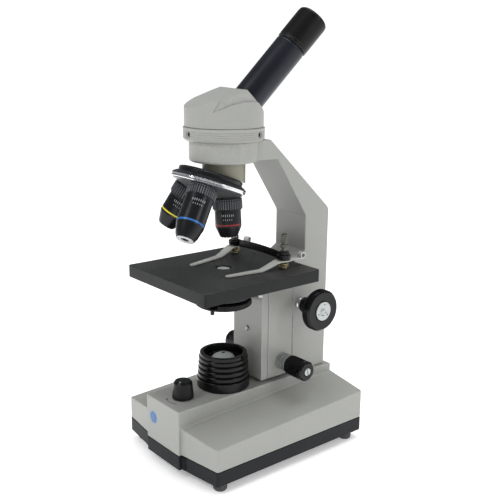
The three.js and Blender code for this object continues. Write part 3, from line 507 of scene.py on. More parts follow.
@dataclass
class Patterns:
    """The trees for what repeats or follows a path."""

    flutes: PatternTree = field(init=False)
    hoops: PatternTree = field(init=False)
    coil: PatternTree = field(init=False)
    bow: PatternTree = field(init=False)
    row: PatternTree = field(init=False)
    arc: PatternTree = field(init=False)
    strokes: PatternTree = field(init=False)

    def __post_init__(self) -> None:
        """Builds every tree."""
        self.flutes = self._flutes()
        self.hoops = self._hoops()
        self.coil = self._coil()
        self.bow = self._bow()
        self.row = self._row()
        self.arc = self._arc()
        self.strokes = self._strokes()

    def _facing(self, tree: PatternTree, lean: Any) -> bpy.types.NodeSocket:
        """Turns what is set on points round an axis.

        Args:
            tree: the tree to work in.
            lean: how far it leans outwards, in radians.

        Returns:
            A rotation that stands along the axis, leans outwards, and turns with the radius.
        """
        spot = tree.add("GeometryNodeInputPosition")
        apart = tree.add("ShaderNodeSeparateXYZ", {0: spot.outputs[0]}).outputs
        flat = tree.add("ShaderNodeCombineXYZ", {0: apart[0], 1: apart[1], 2: 0.0})
        out = tree.add("ShaderNodeVectorMath", {0: flat.outputs[0]}, operation="NORMALIZE")
        side = tree.add(
            "ShaderNodeVectorMath", {0: out.outputs[0], 3: tree.math("SINE", lean)}, operation="SCALE"
        )
        rise = tree.add("ShaderNodeCombineXYZ", {2: tree.math("COSINE", lean)})
        way = tree.add("ShaderNodeVectorMath", {0: side.outputs[0], 1: rise.outputs[0]}, operation="ADD")
        first = tree.add("FunctionNodeAlignRotationToVector", {"Vector": way.outputs[0]}, axis="Z")
        then = {"Rotation": first.outputs[0], "Vector": out.outputs[0]}
        return tree.add("FunctionNodeAlignRotationToVector", then, axis="X", pivot_axis="Z").outputs[0]

    def _flutes(self) -> PatternTree:
        """Bars set round an axis, such as the ridges of a grip.

        Returns:
            The tree.
        """
        kinds = {"Count": "Int", "Sides": "Int", "Radius": "Float", "Bar": "Float", "Length": "Float"}
        tree = PatternTree("flutes", {**kinds, "Lean": "Float"})
        given = tree.given
        ring = tree.add("GeometryNodeMeshCircle", {"Vertices": given["Count"], "Radius": given["Radius"]})
        sizes = {"Vertices": given["Sides"], "Radius": given["Bar"], "Depth": given["Length"]}
        bar = tree.add("GeometryNodeMeshCylinder", sizes)
        set_out = {
            "Points": ring.outputs[0],
            "Instance": bar.outputs[0],
            "Rotation": self._facing(tree, given["Lean"]),
        }
        tree.close(tree.add("GeometryNodeInstanceOnPoints", set_out).outputs[0])
        return tree

    def _hoops(self) -> PatternTree:
        """Rings stacked along an axis, each a little smaller than the last.

        Returns:
            The tree.
        """
        kinds = {"Count": "Int", "Radius": "Float", "Deep": "Float", "Tall": "Float", "Round": "Float"}
        tree = PatternTree("hoops", {**kinds, "Pitch": "Float", "Shrink": "Float"})
        given = tree.given
        step = tree.add("ShaderNodeCombineXYZ", {2: given["Pitch"]})
        line = tree.add("GeometryNodeMeshLine", {"Count": given["Count"], "Offset": step.outputs[0]})
        path = tree.add("GeometryNodeCurvePrimitiveCircle", {"Resolution": 96, "Radius": given["Radius"]})
        across = {"Width": given["Tall"], "Height": given["Deep"]}
        plate = tree.add("GeometryNodeCurvePrimitiveQuadrilateral", across)
        soft = {0: plate.outputs[0], "Radius": given["Round"], "Count": 5, "Limit Radius": True}
        section = tree.add("GeometryNodeFilletCurve", soft, mode="POLY")
        loop = tree.add("GeometryNodeCurveToMesh", {0: path.outputs[0], 1: section.outputs[0]})
        index = tree.add("GeometryNodeInputIndex").outputs[0]
        size = tree.math("SUBTRACT", 1.0, tree.math("MULTIPLY", index, given["Shrink"]))
        scale = tree.add("ShaderNodeCombineXYZ", {0: size, 1: size, 2: 1.0})
        parts = {"Points": line.outputs[0], "Instance": loop.outputs[0], "Scale": scale.outputs[0]}
        tree.close(tree.add("GeometryNodeInstanceOnPoints", parts).outputs[0])
        return tree

    def _coil(self) -> PatternTree:
        """A coil spring.

        Returns:
            The tree.
        """
        kinds = {"Turns": "Float", "Radius": "Float", "Wire": "Float", "Height": "Float"}
        tree = PatternTree("coil", kinds)
        given = tree.given
        sizes = {"Resolution": 28, "Rotations": given["Turns"], "Height": given["Height"]}
        sizes |= {"Start Radius": given["Radius"], "End Radius": given["Radius"]}
        path = tree.add("GeometryNodeCurveSpiral", sizes)
        wire = tree.add("GeometryNodeCurvePrimitiveCircle", {"Resolution": 12, "Radius": given["Wire"]})
        ends = {0: path.outputs[0], 1: wire.outputs[0], "Fill Caps": True}
        tree.close(tree.add("GeometryNodeCurveToMesh", ends).outputs[0])
        return tree

    def _bow(self) -> PatternTree:
        """A strip that bows up between two ends at the same height.

        Returns:
            The tree.
        """
        kinds = {"Span": "Float", "Rise": "Float", "Width": "Float", "Thick": "Float", "Round": "Float"}
        tree = PatternTree("bow", kinds)
        given = tree.given
        half = tree.math("MULTIPLY", given["Span"], 0.5)
        left = tree.add("ShaderNodeCombineXYZ", {0: tree.math("MULTIPLY", half, -1.0)})
        right = tree.add("ShaderNodeCombineXYZ", {0: half})
        top = tree.add("ShaderNodeCombineXYZ", {2: tree.math("MULTIPLY", given["Rise"], 2.0)})
        ends = {"Resolution": 40, "Start": left.outputs[0], "Middle": top.outputs[0], "End": right.outputs[0]}
        path = tree.add("GeometryNodeCurveQuadraticBezier", ends)
        across = {"Width": given["Thick"], "Height": given["Width"]}
        plate = tree.add("GeometryNodeCurvePrimitiveQuadrilateral", across)
        soft = {0: plate.outputs[0], "Radius": given["Round"], "Count": 4, "Limit Radius": True}
        section = tree.add("GeometryNodeFilletCurve", soft, mode="POLY")
        strip = {0: path.outputs[0], 1: section.outputs[0], "Fill Caps": True}
        tree.close(tree.add("GeometryNodeCurveToMesh", strip).outputs[0])
        return tree

    def _row(self) -> PatternTree:
        """Bars in a straight row.

        Returns:
            The tree.
        """
        kinds = {"Count": "Int", "Sides": "Int", "Step": "Vector", "Bar": "Float", "Length": "Float"}
        tree = PatternTree("row", kinds)
        given = tree.given
        line = tree.add("GeometryNodeMeshLine", {"Count": given["Count"], "Offset": given["Step"]})
        sizes = {"Vertices": given["Sides"], "Radius": given["Bar"], "Depth": given["Length"]}
        bar = tree.add("GeometryNodeMeshCylinder", sizes)
        tree.close(
            tree.add("GeometryNodeInstanceOnPoints", {0: line.outputs[0], 2: bar.outputs[0]}).outputs[0]
        )
        return tree

    def _arc(self) -> PatternTree:
        """A flat line that follows an arc.

        Returns:
            The tree.
        """
        kinds = {"Radius": "Float", "Start": "Float", "Sweep": "Float", "Width": "Float", "Thick": "Float"}
        tree = PatternTree("arc", kinds)
        given = tree.given
        sizes = {"Resolution": 32, "Radius": given["Radius"], "Start Angle": given["Start"]}
        path = tree.add("GeometryNodeCurveArc", {**sizes, "Sweep Angle": given["Sweep"]}, mode="RADIUS")
        across = {"Width": given["Thick"], "Height": given["Width"]}
        section = tree.add("GeometryNodeCurvePrimitiveQuadrilateral", across)
        strip = {0: path.outputs[0], 1: section.outputs[0], "Fill Caps": True}
        tree.close(tree.add("GeometryNodeCurveToMesh", strip).outputs[0])
        return tree

    def _strokes(self) -> PatternTree:
        """Short bars spread over an arc about an axis, such as graduations.

        Returns:
            The tree.
        """
        kinds = {"Count": "Int", "Radius": "Float", "Start": "Float", "Sweep": "Float", "Size": "Vector"}
        tree = PatternTree("strokes", kinds)
        given = tree.given
        sizes = {"Resolution": given["Count"], "Radius": given["Radius"], "Start Angle": given["Start"]}
        path = tree.add("GeometryNodeCurveArc", {**sizes, "Sweep Angle": given["Sweep"]}, mode="RADIUS")
        bar = tree.add("GeometryNodeMeshCube", {"Size": given["Size"]})
        spots = tree.add("GeometryNodeCurveToPoints", {0: path.outputs[0]}, mode="EVALUATED")
        parts = {"Points": spots.outputs[0], "Instance": bar.outputs[0], "Rotation": self._facing(tree, 0.0)}
        tree.close(tree.add("GeometryNodeInstanceOnPoints", parts).outputs[0])
        return tree


# ---- Finishes -----------------------------------------------------------------------------


class Texture(Enum):
    """How a surface is worked."""

    ORANGE_PEEL = "sprayed paint"
    GRAIN = "moulded grain"
    TURNED = "fine rings from the lathe"
    SMOOTH = "polished"
    TRACKS = "printed circuit tracks"


@dataclass(frozen=True)
class Finish:
    """One finish of the object, with its mottling, grain, and lighter marked edges that are partly abrasion and partly
    a painted highlight on rims.
    """

    name: str
    colour: Colour
    roughness: float
    texture: Texture = Texture.SMOOTH
    metallic: float = 0.0
    mottle: float = 0.06
    cloud: float = 30.0
    uneven: float = 0.12
    relief: float = 0.15
    # Lighter colour and strength for marked edges: partly abrasion of the finish, partly a painted highlight on rims.
    worn_and_highlight: Colour | None = None
    wear_and_highlight: float = 0.5
    dust: float = 0.0
    coat: float = 0.0
    clear: float = 0.0
    ior: float = 1.5
    specular: float = 0.5

    def _fine(self, graph: Graph, place: bpy.types.NodeSocket) -> tuple[bpy.types.NodeSocket, float]:
        """Makes the surface's own texture.

        Args:
            graph: the material's graph.
            place: the coordinates it reads.

        Returns:
            Its height, and how deep it is in metres.
        """
        if self.texture is Texture.TURNED:
            run = graph.add("ShaderNodeUVMap", uv_map="UVMap").outputs[0]
            apart = graph.add("ShaderNodeSeparateXYZ", {0: run}).outputs
            slow = graph.math("MULTIPLY", apart[0], 0.01)
            line = graph.add("ShaderNodeCombineXYZ", {0: slow, 1: apart[1]}).outputs[0]
            noise = graph.add("ShaderNodeTexNoise", {"Vector": line, "Scale": 2600.0, "Detail": 3.0})
            return noise.outputs[0], 0.00002
        if self.texture is Texture.GRAIN:
            cells = graph.add("ShaderNodeTexVoronoi", {"Vector": place, "Scale": 1500.0})
            return cells.outputs[0], 0.00004
        if self.texture is Texture.TRACKS:
            bands = {"Vector": place, "Scale": 160.0, "Distortion": 4.0}
            return graph.add("ShaderNodeTexWave", bands).outputs[1], 0.00003
        scale = 420.0 if self.texture is Texture.ORANGE_PEEL else 90.0
        noise = graph.add("ShaderNodeTexNoise", {"Vector": place, "Scale": scale, "Detail": 4.0})
        return noise.outputs[0], 0.00006 if self.texture is Texture.ORANGE_PEEL else 0.00001

    def material(self) -> bpy.types.Material:
        """The finish as a material, made once.

        Returns:
            The material.
        """
        found = bpy.data.materials.get(self.name)
        if found:
            return found
        made = bpy.data.materials.new(self.name)
        made.use_nodes = True
        graph = Graph(made.node_tree)
        shader = next(n for n in made.node_tree.nodes if n.type == "BSDF_PRINCIPLED")
        place = graph.add("ShaderNodeTexCoord").outputs["Object"]
        cloud = graph.add("ShaderNodeTexNoise", {"Vector": place, "Scale": self.cloud, "Detail": 3.0}).outputs[0]
        speck = graph.add("ShaderNodeTexNoise", {"Vector": place, "Scale": 340.0, "Detail": 2.0}).outputs[0]
        blend = graph.math("ADD", graph.math("MULTIPLY", cloud, 0.7), graph.math("MULTIPLY", speck, 0.3))
        shade = graph.add("ShaderNodeMapRange", {0: blend, 1: 0.3, 2: 0.7, 3: 0.0, 4: 1.0}).outputs[0]
        dark = (*[c * (1 - self.mottle) for c in self.colour], 1.0)
        light = (*[min(1.0, c * (1 + self.mottle)) for c in self.colour], 1.0)
        tint = graph.add("ShaderNodeMix", {0: shade, 6: dark, 7: light}, data_type="RGBA").outputs[2]
        # Marked edges are mixed, in noisy patches, toward a lighter colour: partly abrasion, partly a painted highlight
        # standing in for light caught on rounded rims.
        edge = graph.add("ShaderNodeAttribute", attribute_name="edge").outputs["Fac"]
        edge_patches = graph.add("ShaderNodeMapRange", {0: speck, 1: 0.42, 2: 0.62, 3: 0.25, 4: 1.0}).outputs[0]
        rub_and_highlight = graph.math("MULTIPLY", graph.math("MULTIPLY", edge, edge_patches), self.wear_and_highlight, clamp=True)
        if self.worn_and_highlight:
            pair = {0: rub_and_highlight, 6: tint, 7: (*self.worn_and_highlight, 1.0)}
            tint = graph.add("ShaderNodeMix", pair, data_type="RGBA").outputs[2]
        if self.dust:
            facing = graph.add("ShaderNodeNewGeometry").outputs["Normal"]
            up = graph.add("ShaderNodeSeparateXYZ", {0: facing}).outputs[2]
            settled = graph.math("MULTIPLY", graph.math("MULTIPLY", up, shade), self.dust, clamp=True)
            pair = {0: settled, 6: tint, 7: (0.42, 0.42, 0.41, 1.0)}
            tint = graph.add("ShaderNodeMix", pair, data_type="RGBA").outputs[2]
        graph.tree.links.new(tint, shader.inputs["Base Color"])
        swing = {0: cloud, 1: 0.3, 2: 0.7, 3: self.roughness - self.uneven / 2, 4: self.roughness + self.uneven / 2}
        rough = graph.add("ShaderNodeMapRange", swing).outputs[0]
        rough = graph.math("SUBTRACT", rough, graph.math("MULTIPLY", rub_and_highlight, 0.1), clamp=True)
        graph.tree.links.new(rough, shader.inputs["Roughness"])
        height, depth = self._fine(graph, place)
        bump = graph.add("ShaderNodeBump", {"Strength": self.relief, "Distance": depth, "Height": height})
        graph.tree.links.new(bump.outputs[0], shader.inputs["Normal"])
        shader.inputs["Metallic"].default_value = self.metallic
        shader.inputs["IOR"].default_value = self.ior
        shader.inputs["Specular IOR Level"].default_value = self.specular
        shader.inputs["Coat Weight"].default_value = self.coat
        shader.inputs["Coat Roughness"].default_value = 0.25
        shader.inputs["Transmission Weight"].default_value = self.clear
        return made


@dataclass(frozen=True)
class Finishes:
    """Every finish that the object has."""

    # Each finish's lighter edge colour is partly abrasion and partly a painted highlight on rims.
    paint: Finish = Finish(
        "warm_grey_paint", tone(147, 148, 143), 0.42, Texture.ORANGE_PEEL,
        mottle=0.035, relief=0.1, worn_and_highlight=tone(196, 196, 190), wear_and_highlight=0.16, coat=0.1,
    )
    cream: Finish = Finish(
        "cream_grey_paint", tone(132, 130, 114), 0.36, Texture.ORANGE_PEEL,
        mottle=0.04, relief=0.08, worn_and_highlight=tone(190, 188, 172), wear_and_highlight=0.2, coat=0.15,
    )
    tray: Finish = Finish(
        "charcoal_tray_paint", tone(19, 20, 25), 0.5, Texture.GRAIN,
        specular=0.22, mottle=0.12, relief=0.25, worn_and_highlight=tone(66, 67, 72), wear_and_highlight=0.3,
    )
    stage: Finish = Finish(
        "stage_black_satin", tone(24, 25, 25), 0.42, Texture.GRAIN,
        specular=0.2, mottle=0.1, relief=0.16, uneven=0.16, worn_and_highlight=tone(66, 68, 68), wear_and_highlight=0.35, dust=0.08,
    )
    plastic: Finish = Finish(
        "moulded_black_plastic", tone(12, 12, 13), 0.34, Texture.GRAIN,
        specular=0.22, mottle=0.1, relief=0.08, worn_and_highlight=tone(62, 62, 66), wear_and_highlight=0.6,
    )
    gloss: Finish = Finish(
        "polished_black_plastic", tone(10, 10, 12), 0.22, Texture.SMOOTH,
        specular=0.22, mottle=0.08, relief=0.1, uneven=0.1, worn_and_highlight=tone(48, 48, 50), coat=0.05,
    )
    anodised: Finish = Finish(
        "black_anodised_turning", tone(17, 18, 21), 0.3, Texture.TURNED,
        specular=0.35, metallic=0.15, mottle=0.1, relief=0.3, worn_and_highlight=tone(96, 97, 100), wear_and_highlight=0.55,
    )
    cone: Finish = Finish(
        "satin_grey_turning", tone(118, 120, 120), 0.3, Texture.TURNED,
        metallic=0.7, mottle=0.08, relief=0.4, worn_and_highlight=tone(170, 172, 172),
    )
    tip: Finish = Finish(
        "bright_front_metal", tone(222, 224, 226), 0.28, Texture.TURNED,
        metallic=0.25, mottle=0.1, relief=0.4, worn_and_highlight=tone(236, 237, 238),
    )
    ridge: Finish = Finish(
        "anodised_ridges", tone(92, 94, 98), 0.36, Texture.SMOOTH,
        metallic=0.4, mottle=0.15, relief=0.3, worn_and_highlight=tone(120, 122, 126),
    )
    steel: Finish = Finish(
        "dark_turned_steel", tone(92, 92, 86), 0.3, Texture.TURNED,
        metallic=0.9, mottle=0.12, relief=0.4, worn_and_highlight=tone(180, 180, 176), wear_and_highlight=0.6,
    )
    tube: Finish = Finish(
        "blue_black_anodised_tube", tone(20, 24, 34), 0.34, Texture.TURNED,
        metallic=0.3, mottle=0.1, relief=0.25, worn_and_highlight=tone(92, 95, 104), wear_and_highlight=0.5,
    )
    silver: Finish = Finish(
        "satin_turned_silver", tone(172, 175, 175), 0.34, Texture.TURNED,
        metallic=0.85, mottle=0.07, relief=0.5, worn_and_highlight=tone(214, 216, 216),
    )
    strip: Finish = Finish(
        "matte_clip_metal", tone(188, 189, 184), 0.42, Texture.SMOOTH,
        metallic=0.4, mottle=0.08, relief=0.4, uneven=0.16, worn_and_highlight=tone(206, 207, 203),
    )
    chrome: Finish = Finish(
        "polished_chrome", tone(226, 227, 230), 0.1, Texture.SMOOTH,
        metallic=1.0, mottle=0.03, uneven=0.08, relief=0.15,
    )
    brass: Finish = Finish(
        "drawn_brass", tone(196, 182, 136), 0.3, Texture.SMOOTH,
        metallic=0.6, mottle=0.12, relief=0.3, worn_and_highlight=tone(216, 190, 130),
    )
    rubber: Finish = Finish(
        "foot_rubber", tone(24, 24, 25), 0.72, Texture.GRAIN,
        mottle=0.15, relief=0.3, worn_and_highlight=tone(54, 54, 54), dust=0.06,
    )
    glass: Finish = Finish(
        "coated_glass", tone(222, 230, 234), 0.04, Texture.SMOOTH,
        mottle=0.02, uneven=0.03, relief=0.04, clear=0.92, ior=1.52, coat=0.2,
    )
    dome: Finish = Finish(
        "frosted_glass", tone(186, 192, 190), 0.22, Texture.SMOOTH,
        mottle=0.05, uneven=0.1, relief=0.1, clear=0.35, ior=1.5, coat=0.4,
    )
    board: Finish = Finish("green_board", tone(38, 86, 56), 0.45, Texture.TRACKS, mottle=0.2, relief=0.6)
    red: Finish = Finish("red_band", tone(124, 26, 20), 0.32, Texture.TURNED, mottle=0.06, relief=0.2)
    yellow: Finish = Finish("yellow_band", tone(204, 192, 44), 0.32, Texture.TURNED, mottle=0.05, relief=0.2)
    blue: Finish = Finish("blue_band", tone(28, 92, 160), 0.32, Texture.TURNED, mottle=0.05, relief=0.2)
    badge: Finish = Finish("badge_blue", tone(14, 84, 146), 0.3, Texture.SMOOTH, mottle=0.05, coat=0.4)
    badge_rim: Finish = Finish("badge_pale_blue", tone(112, 156, 186), 0.3, Texture.SMOOTH, mottle=0.04)
    ink: Finish = Finish("printed_ink", tone(34, 34, 36), 0.5, Texture.SMOOTH, mottle=0.1)
    white: Finish = Finish("white_filling", tone(158, 160, 164), 0.45, Texture.SMOOTH, mottle=0.05)


@dataclass(frozen=True)
class Workshop:
    """What every maker of pieces shares."""

    finishes: Finishes
    patterns: Patterns
    nodes: dict[str, bpy.types.Object]

    def dress(self, finish: Finish, *nodes: str) -> None:
        """Gives frame nodes that are shown as they are a finish.

        Args:
            finish: the finish to give.
            *nodes: the names of the nodes.
        """
        for node in nodes:
            item = self.nodes[node]
            if not item.material_slots:
                item.data.materials.append(None)
            for slot in item.material_slots:
                slot.link = "OBJECT"
                slot.material = finish.material()
            log.info("%s: kept, in %s", node, finish.name)


# ---- Base ---------------------------------------------------------------------------------


@dataclass
class Base:
    """The cover, the tray, the feet and the marks on them."""

    shop: Workshop
    half: float = 68.0
    long: float = 90.25
    box_half: float = 25.0
    box_top: float = 62.0
    wing_inner: float = 87.2
    wing_outer: float = 81.43
    slope_half: float = 81.4
    inner_heights: Point2 = (46.3, 54.4)
    outer_heights: Point2 = (41.0, 47.5)
    tray: Point2 = (8.0, 21.0)
    wall: float = 3.0
    dimmer: Point2 = (2.0, -69.5)
    axis_y: float = -23.4
    badge: tuple[float, float, float] = (-14.0, -90.25, 43.5)

    def outline(self, inset: float, soft: float) -> list[Point2]:
        """The plan of box and wings, with softened corners.

        Args:
            inset: how far it is drawn in.
            soft: the radius of the corners.

        Returns:
            The points of the closed outline.
        """
        half, rear, box = self.half - inset, self.long - inset, self.box_half - inset
        right = [(box, -self.long + inset, soft * 0.6), (box, -self.wing_inner + inset, 0.0)]
        right += [(half, -self.wing_outer + inset, soft), (half, rear, soft)]
        left = [(-x, y, r) for x, y, r in reversed(right)]
        return soft_corners(right + left)

    def above_wing(self, side: int, drop: float) -> Shape:
        """What lies over a wing's sloping top.

        Args:
            side: 1 for the right wing and -1 for the left.
            drop: how far it is lowered.

        Returns:
            The solid to cut away.
        """
        inner = self.box_half - drop
        reach, span = self.long + 5, 2 * self.slope_half
        spots = []
        for y in (-reach, reach):
            t = (y + self.slope_half) / span
            near = self.inner_heights[0] + (self.inner_heights[1] - self.inner_heights[0]) * t - drop
            far = self.outer_heights[0] + (self.outer_heights[1] - self.outer_heights[0]) * t - drop
            fall = (near - far) / (self.half - self.box_half)
            spots += [(inner, y, near + fall * drop), (self.half + 5, y, far - fall * 5)]
            spots += [(self.half + 5, y, 90.0), (inner, y, 90.0)]
        mesh = bpy.data.meshes.new("wedge")
        faces = [(0, 1, 2, 3), (4, 5, 6, 7), (0, 1, 5, 4), (1, 2, 6, 5), (2, 3, 7, 6), (3, 0, 4, 7)]
        mesh.from_pydata([(side * x, y, z) for x, y, z in spots], [], faces)
        return Shape(mesh).outward()

    def block(self, inset: float, low: float, high: float, drop: float, soft: float) -> Shape:
        """Box and wings as one solid."""
        body = Shape.prism(self.outline(inset, soft), low, high)
        return body.cut(self.above_wing(1, drop), self.above_wing(-1, drop))

    def cover(self) -> None:
        """The painted cover, open below."""
        body = self.block(0.0, self.tray[1] + 0.3, self.box_top, 0.0, 3.0).rounded(1.7, 4)
        hollow = self.block(self.wall, self.tray[1] - 1, self.box_top - self.wall, self.wall, 1.0)
        shaft = drum(3.4, 50, 70, 0).shifted(*self.dimmer)
        wires = drum(4.0, 50, 70, 0).shifted(0, self.axis_y)
        socket = drum(5.8, 70, 100, 0).moved(along((12, 0, 38), (0, 1, 0)))
        badge = drum(5.85, -0.6, 4, 0, 72).moved(along(self.badge, (0, -1, 0)))
        body.cut(hollow, shaft, wires, socket, badge)
        body.piece("base_cover_shell", "stand", self.shop.finishes.paint, "body_paint", ["base_cover"])

    def tray_pieces(self) -> None:
        """The dark tray, and the ridges where the box steps forward."""
        body = Shape.prism(self.outline(0.0, 3.0), *self.tray).rounded(0.7, 2)
        body.cut(Shape.prism(self.outline(self.wall, 1.0), self.tray[0] + self.wall, self.tray[1] + 5))
        body.piece("bottom_tray", "stand", self.shop.finishes.tray, "tray_paint", ["bottom_plate"])
        dark = self.shop.finishes.tray
        for word, side in (("left", -1), ("right", 1)):
            ridges = self.shop.patterns.row.grow(
                dark.material(), Count=3, Sides=12, Step=(1.7 * side, 0.23, 0.0), Bar=0.75, Length=11.4
            )
            ridges.shifted(side * (self.box_half + 0.9), -self.wing_inner + 0.05, sum(self.tray) / 2)
            ridges.piece(f"tray_ridges_{word}", "stand", dark, "tray_paint")

    def feet(self) -> None:
        """Four rubber feet with a rounded heel and a shallow cup below."""
        words = {"front_left": (-1, -71.5), "front_right": (1, -71.5)}
        words |= {"rear_left": (-1, 78.5), "rear_right": (1, 78.5)}
        profile = [(0, 0.7), (3.0, 0.5), (3.6, 0), (5.2, 0), (6, 1.2), (5.9, 3.4), (5.5, 4.1), (5.7, 4.8)]
        for word, (side, y) in words.items():
            foot = Shape.lathe([*profile, (5.7, 7.7), (0, 7.7)], 0.5).shifted(side * 58.5, y)
            foot.piece(f"rubber_foot_{word}", "stand", self.shop.finishes.rubber, "foot_rubber", [f"foot_{word}"])

    def marks(self) -> None:
        """A plain round badge in front, and the dimmer's printed scale."""
        made = self.shop.finishes
        face = along(self.badge, (0, -1, 0))
        disc = Shape.lathe([(0, -0.55), (5.1, -0.55), (5.1, -0.12), (3.0, -0.06), (0, -0.04)], 0.05).moved(face)
        disc.piece("badge_disc", "stand", made.badge, "body_paint")
        rim = hoop(5.15, 5.75, -0.55, -0.01, 0.1).moved(face)
        rim.piece("badge_rim", "stand", made.badge_rim, "body_paint")
        line = self.shop.patterns.arc.grow(
            made.ink.material(), Radius=14.6, Start=math.radians(251), Sweep=math.radians(52),
            Width=0.55, Thick=0.14,
        ).shifted(*self.dimmer, self.box_top)
        line.piece("dimmer_scale_line", "stand", made.ink, "black_plastic")
        x, y = polar(14.4, 245)
        dot = drum(1.0, -0.1, 0.08, 0.03, 32).shifted(self.dimmer[0] + x, self.dimmer[1] + y, self.box_top)
        dot.piece("dimmer_scale_dot", "stand", made.ink, "black_plastic")

    def inlet(self) -> None:
        """The barrel socket at the rear, with its pin."""
        profile = [(3.2, 78.5), (3.2, 89.4), (3.6, 90.05), (5.2, 90.05), (5.5, 89.6), (5.5, 76), (0, 76)]
        body = Shape.lathe([*reversed(profile), (0, 78.5)][::-1], 0.2, 56)
        pin = drum(1.0, 77, 88.6, 0.4, 32)
        way = along((12, 0, 38), (0, 1, 0))
        body.joined(pin).moved(way)
        body.piece("power_socket", "stand", self.shop.finishes.plastic, "black_plastic", ["dc_inlet"])

    def build(self) -> None:
        """Makes every piece of the base."""
        self.cover()
        self.tray_pieces()
        self.feet()
        self.marks()
        self.inlet()


@dataclass
class Lamp:
    """The ribbed light tower with its lens, and the dimmer."""

    shop: Workshop
    axis_y: float = -23.4
    low: float = 62.3
    top: float = 94.4
    wide: float = 24.0
    lip: float = 21.4
    bore: float = 17.9
    rib_count: int = 4
    dimmer: Point2 = (2.0, -69.5)

    def tower(self) -> None:
        """The black tower: a smooth foot, four ribs and a lip round the well."""
        band = self.low + 8.6
        neck = self.top - 3.6
        core = [(20, self.low), (self.wide, self.low), (self.wide, band), (self.wide - 2.6, band + 0.4)]
        core += [(self.wide - 3.6, neck - 0.3), (self.lip, neck), (self.lip, self.top), (self.bore, self.top)]
        core += [(self.bore - 0.6, 87), (11.8, 85), (11.8, 81), (self.bore, 80), (self.bore, 66.3), (20, self.low)]
        black = self.shop.finishes.gloss
        body = Shape.lathe(core, 0.9, 120).shifted(0, self.axis_y)
        body.piece("lamp_tower", "stand", black, "black_plastic", ["illuminator_housing"])
        pitch = (neck - band) / self.rib_count
        ribs = self.shop.patterns.hoops.grow(
            black.material(), Count=self.rib_count, Radius=self.wide - 2.6, Deep=5.0, Tall=pitch - 1.2,
            Round=1.5, Pitch=pitch, Shrink=0.013,
        ).shifted(0, self.axis_y, band + pitch / 2 + 0.35)
        ribs.piece("lamp_tower_ribs", "stand", black, "black_plastic")

    def lens(self) -> None:
        """The domed lens in the well."""
        dome = [(11.5 * math.cos(t), 86 + 6.8 * math.sin(t)) for t in [math.radians(9 * k) for k in range(10)]]
        body = Shape.lathe([(0, 80.6), (11.5, 81), *dome], 0.2, 96).shifted(0, self.axis_y)
        body.piece("lamp_lens", "stand", self.shop.finishes.dome, "glass", ["collector_lens"])
        self.shop.dress(self.shop.finishes.board, "led_board")

    def knob(self) -> None:
        """The tapered dimmer knob with a skirt, a rounded crown and a white dot."""
        z = self.low - 0.3
        profile = [(3.2, z + 0.6), (9.5, z + 0.6), (9.5, z + 2.4), (8.2, z + 14.6), (7.0, z + 16.2)]
        profile += [(5.4, z + 16.5), (0, z + 16.2), (0, z + 11.5), (3.2, z + 11.5), (3.2, z + 0.6)]
        knob = Shape.lathe(profile, 0.6, 96).shifted(*self.dimmer)
        knob.piece("dimmer_cap", "dimmer", self.shop.finishes.plastic, "black_plastic", ["dimmer_knob"])
        x, y = polar(5.3, -62)
        dot = drum(0.85, z + 16.1, z + 16.62, 0.15, 32).shifted(self.dimmer[0] + x, self.dimmer[1] + y)
        dot.piece("dimmer_dot", "dimmer", self.shop.finishes.white, "black_plastic")
        self.shop.dress(self.shop.finishes.plastic, "dimmer_control")

    def build(self) -> None:
        """Makes the tower, the lens and the dimmer."""
        self.tower()
        self.lens()
        self.knob()


# ---- Arm and focus ------------------------------------------------------------------------


@dataclass
class Arm:
    """The cast arm with the round platform that carries the head."""

    shop: Workshop
    half: float = 20.6
    front: float = 42.5
    axis_y: float = -23.4
    seat: float = 285.0
    platform: float = 29.9
    platform_low: float = 267.2
    coarse: Point2 = (50.8, 130.5)

    def casting(self) -> None:
        """The arm in one piece."""
        corners = [(self.front, 62.3, 0.0), (84.9, 62.3, 0.0), (84.9, 217.2, 7.0), (11.8, 285.0, 6.0)]
        corners += [(-8, 285.0, 0.0), (-8, 267.4, 0.0), (20.1, 267.4, 2.0), (55.4, 213.3, 7.0)]
        corners += [(55.4, 180, 2.0), (self.front, 172, 1.2)]
        spine = Shape.prism(soft_corners(corners), -self.half, self.half, across=True).rounded(1.5, 4)
        r = self.platform
        low = self.platform_low
        profile = [(0, low), (r - 1.8, low), (r - 0.6, low + 0.6), (r, low + 2), (r, self.seat), (0, self.seat)]
        plate = Shape.lathe(profile, 0.7, 144).shifted(0, self.axis_y)
        y0, y1, y2 = self.front - 1, self.front, self.front + 4.4
        tail = [(-9.2, y0), (9.2, y0), (9.2, y1), (12.2, y2), (-12.2, y2), (-9.2, y1)]
        y, z = self.coarse
        pocket = Shape.block(-4, 4, self.front - 1, y + 6.6, z - 7.5, z + 7.5)
        bore = drum(3.2, -30, 30, 0).moved(along((0, y, z), (1, 0, 0)))
        light = drum(10, 255, 290, 0, 96).shifted(0, self.axis_y)
        spine.joined(plate).cut(Shape.prism(tail, 61, 167), pocket, bore, light)
        spine.piece("arm_casting", "stand", self.shop.finishes.paint, "body_paint", ["arm"])

    def build(self) -> None:
        """Makes the arm."""
        self.casting()


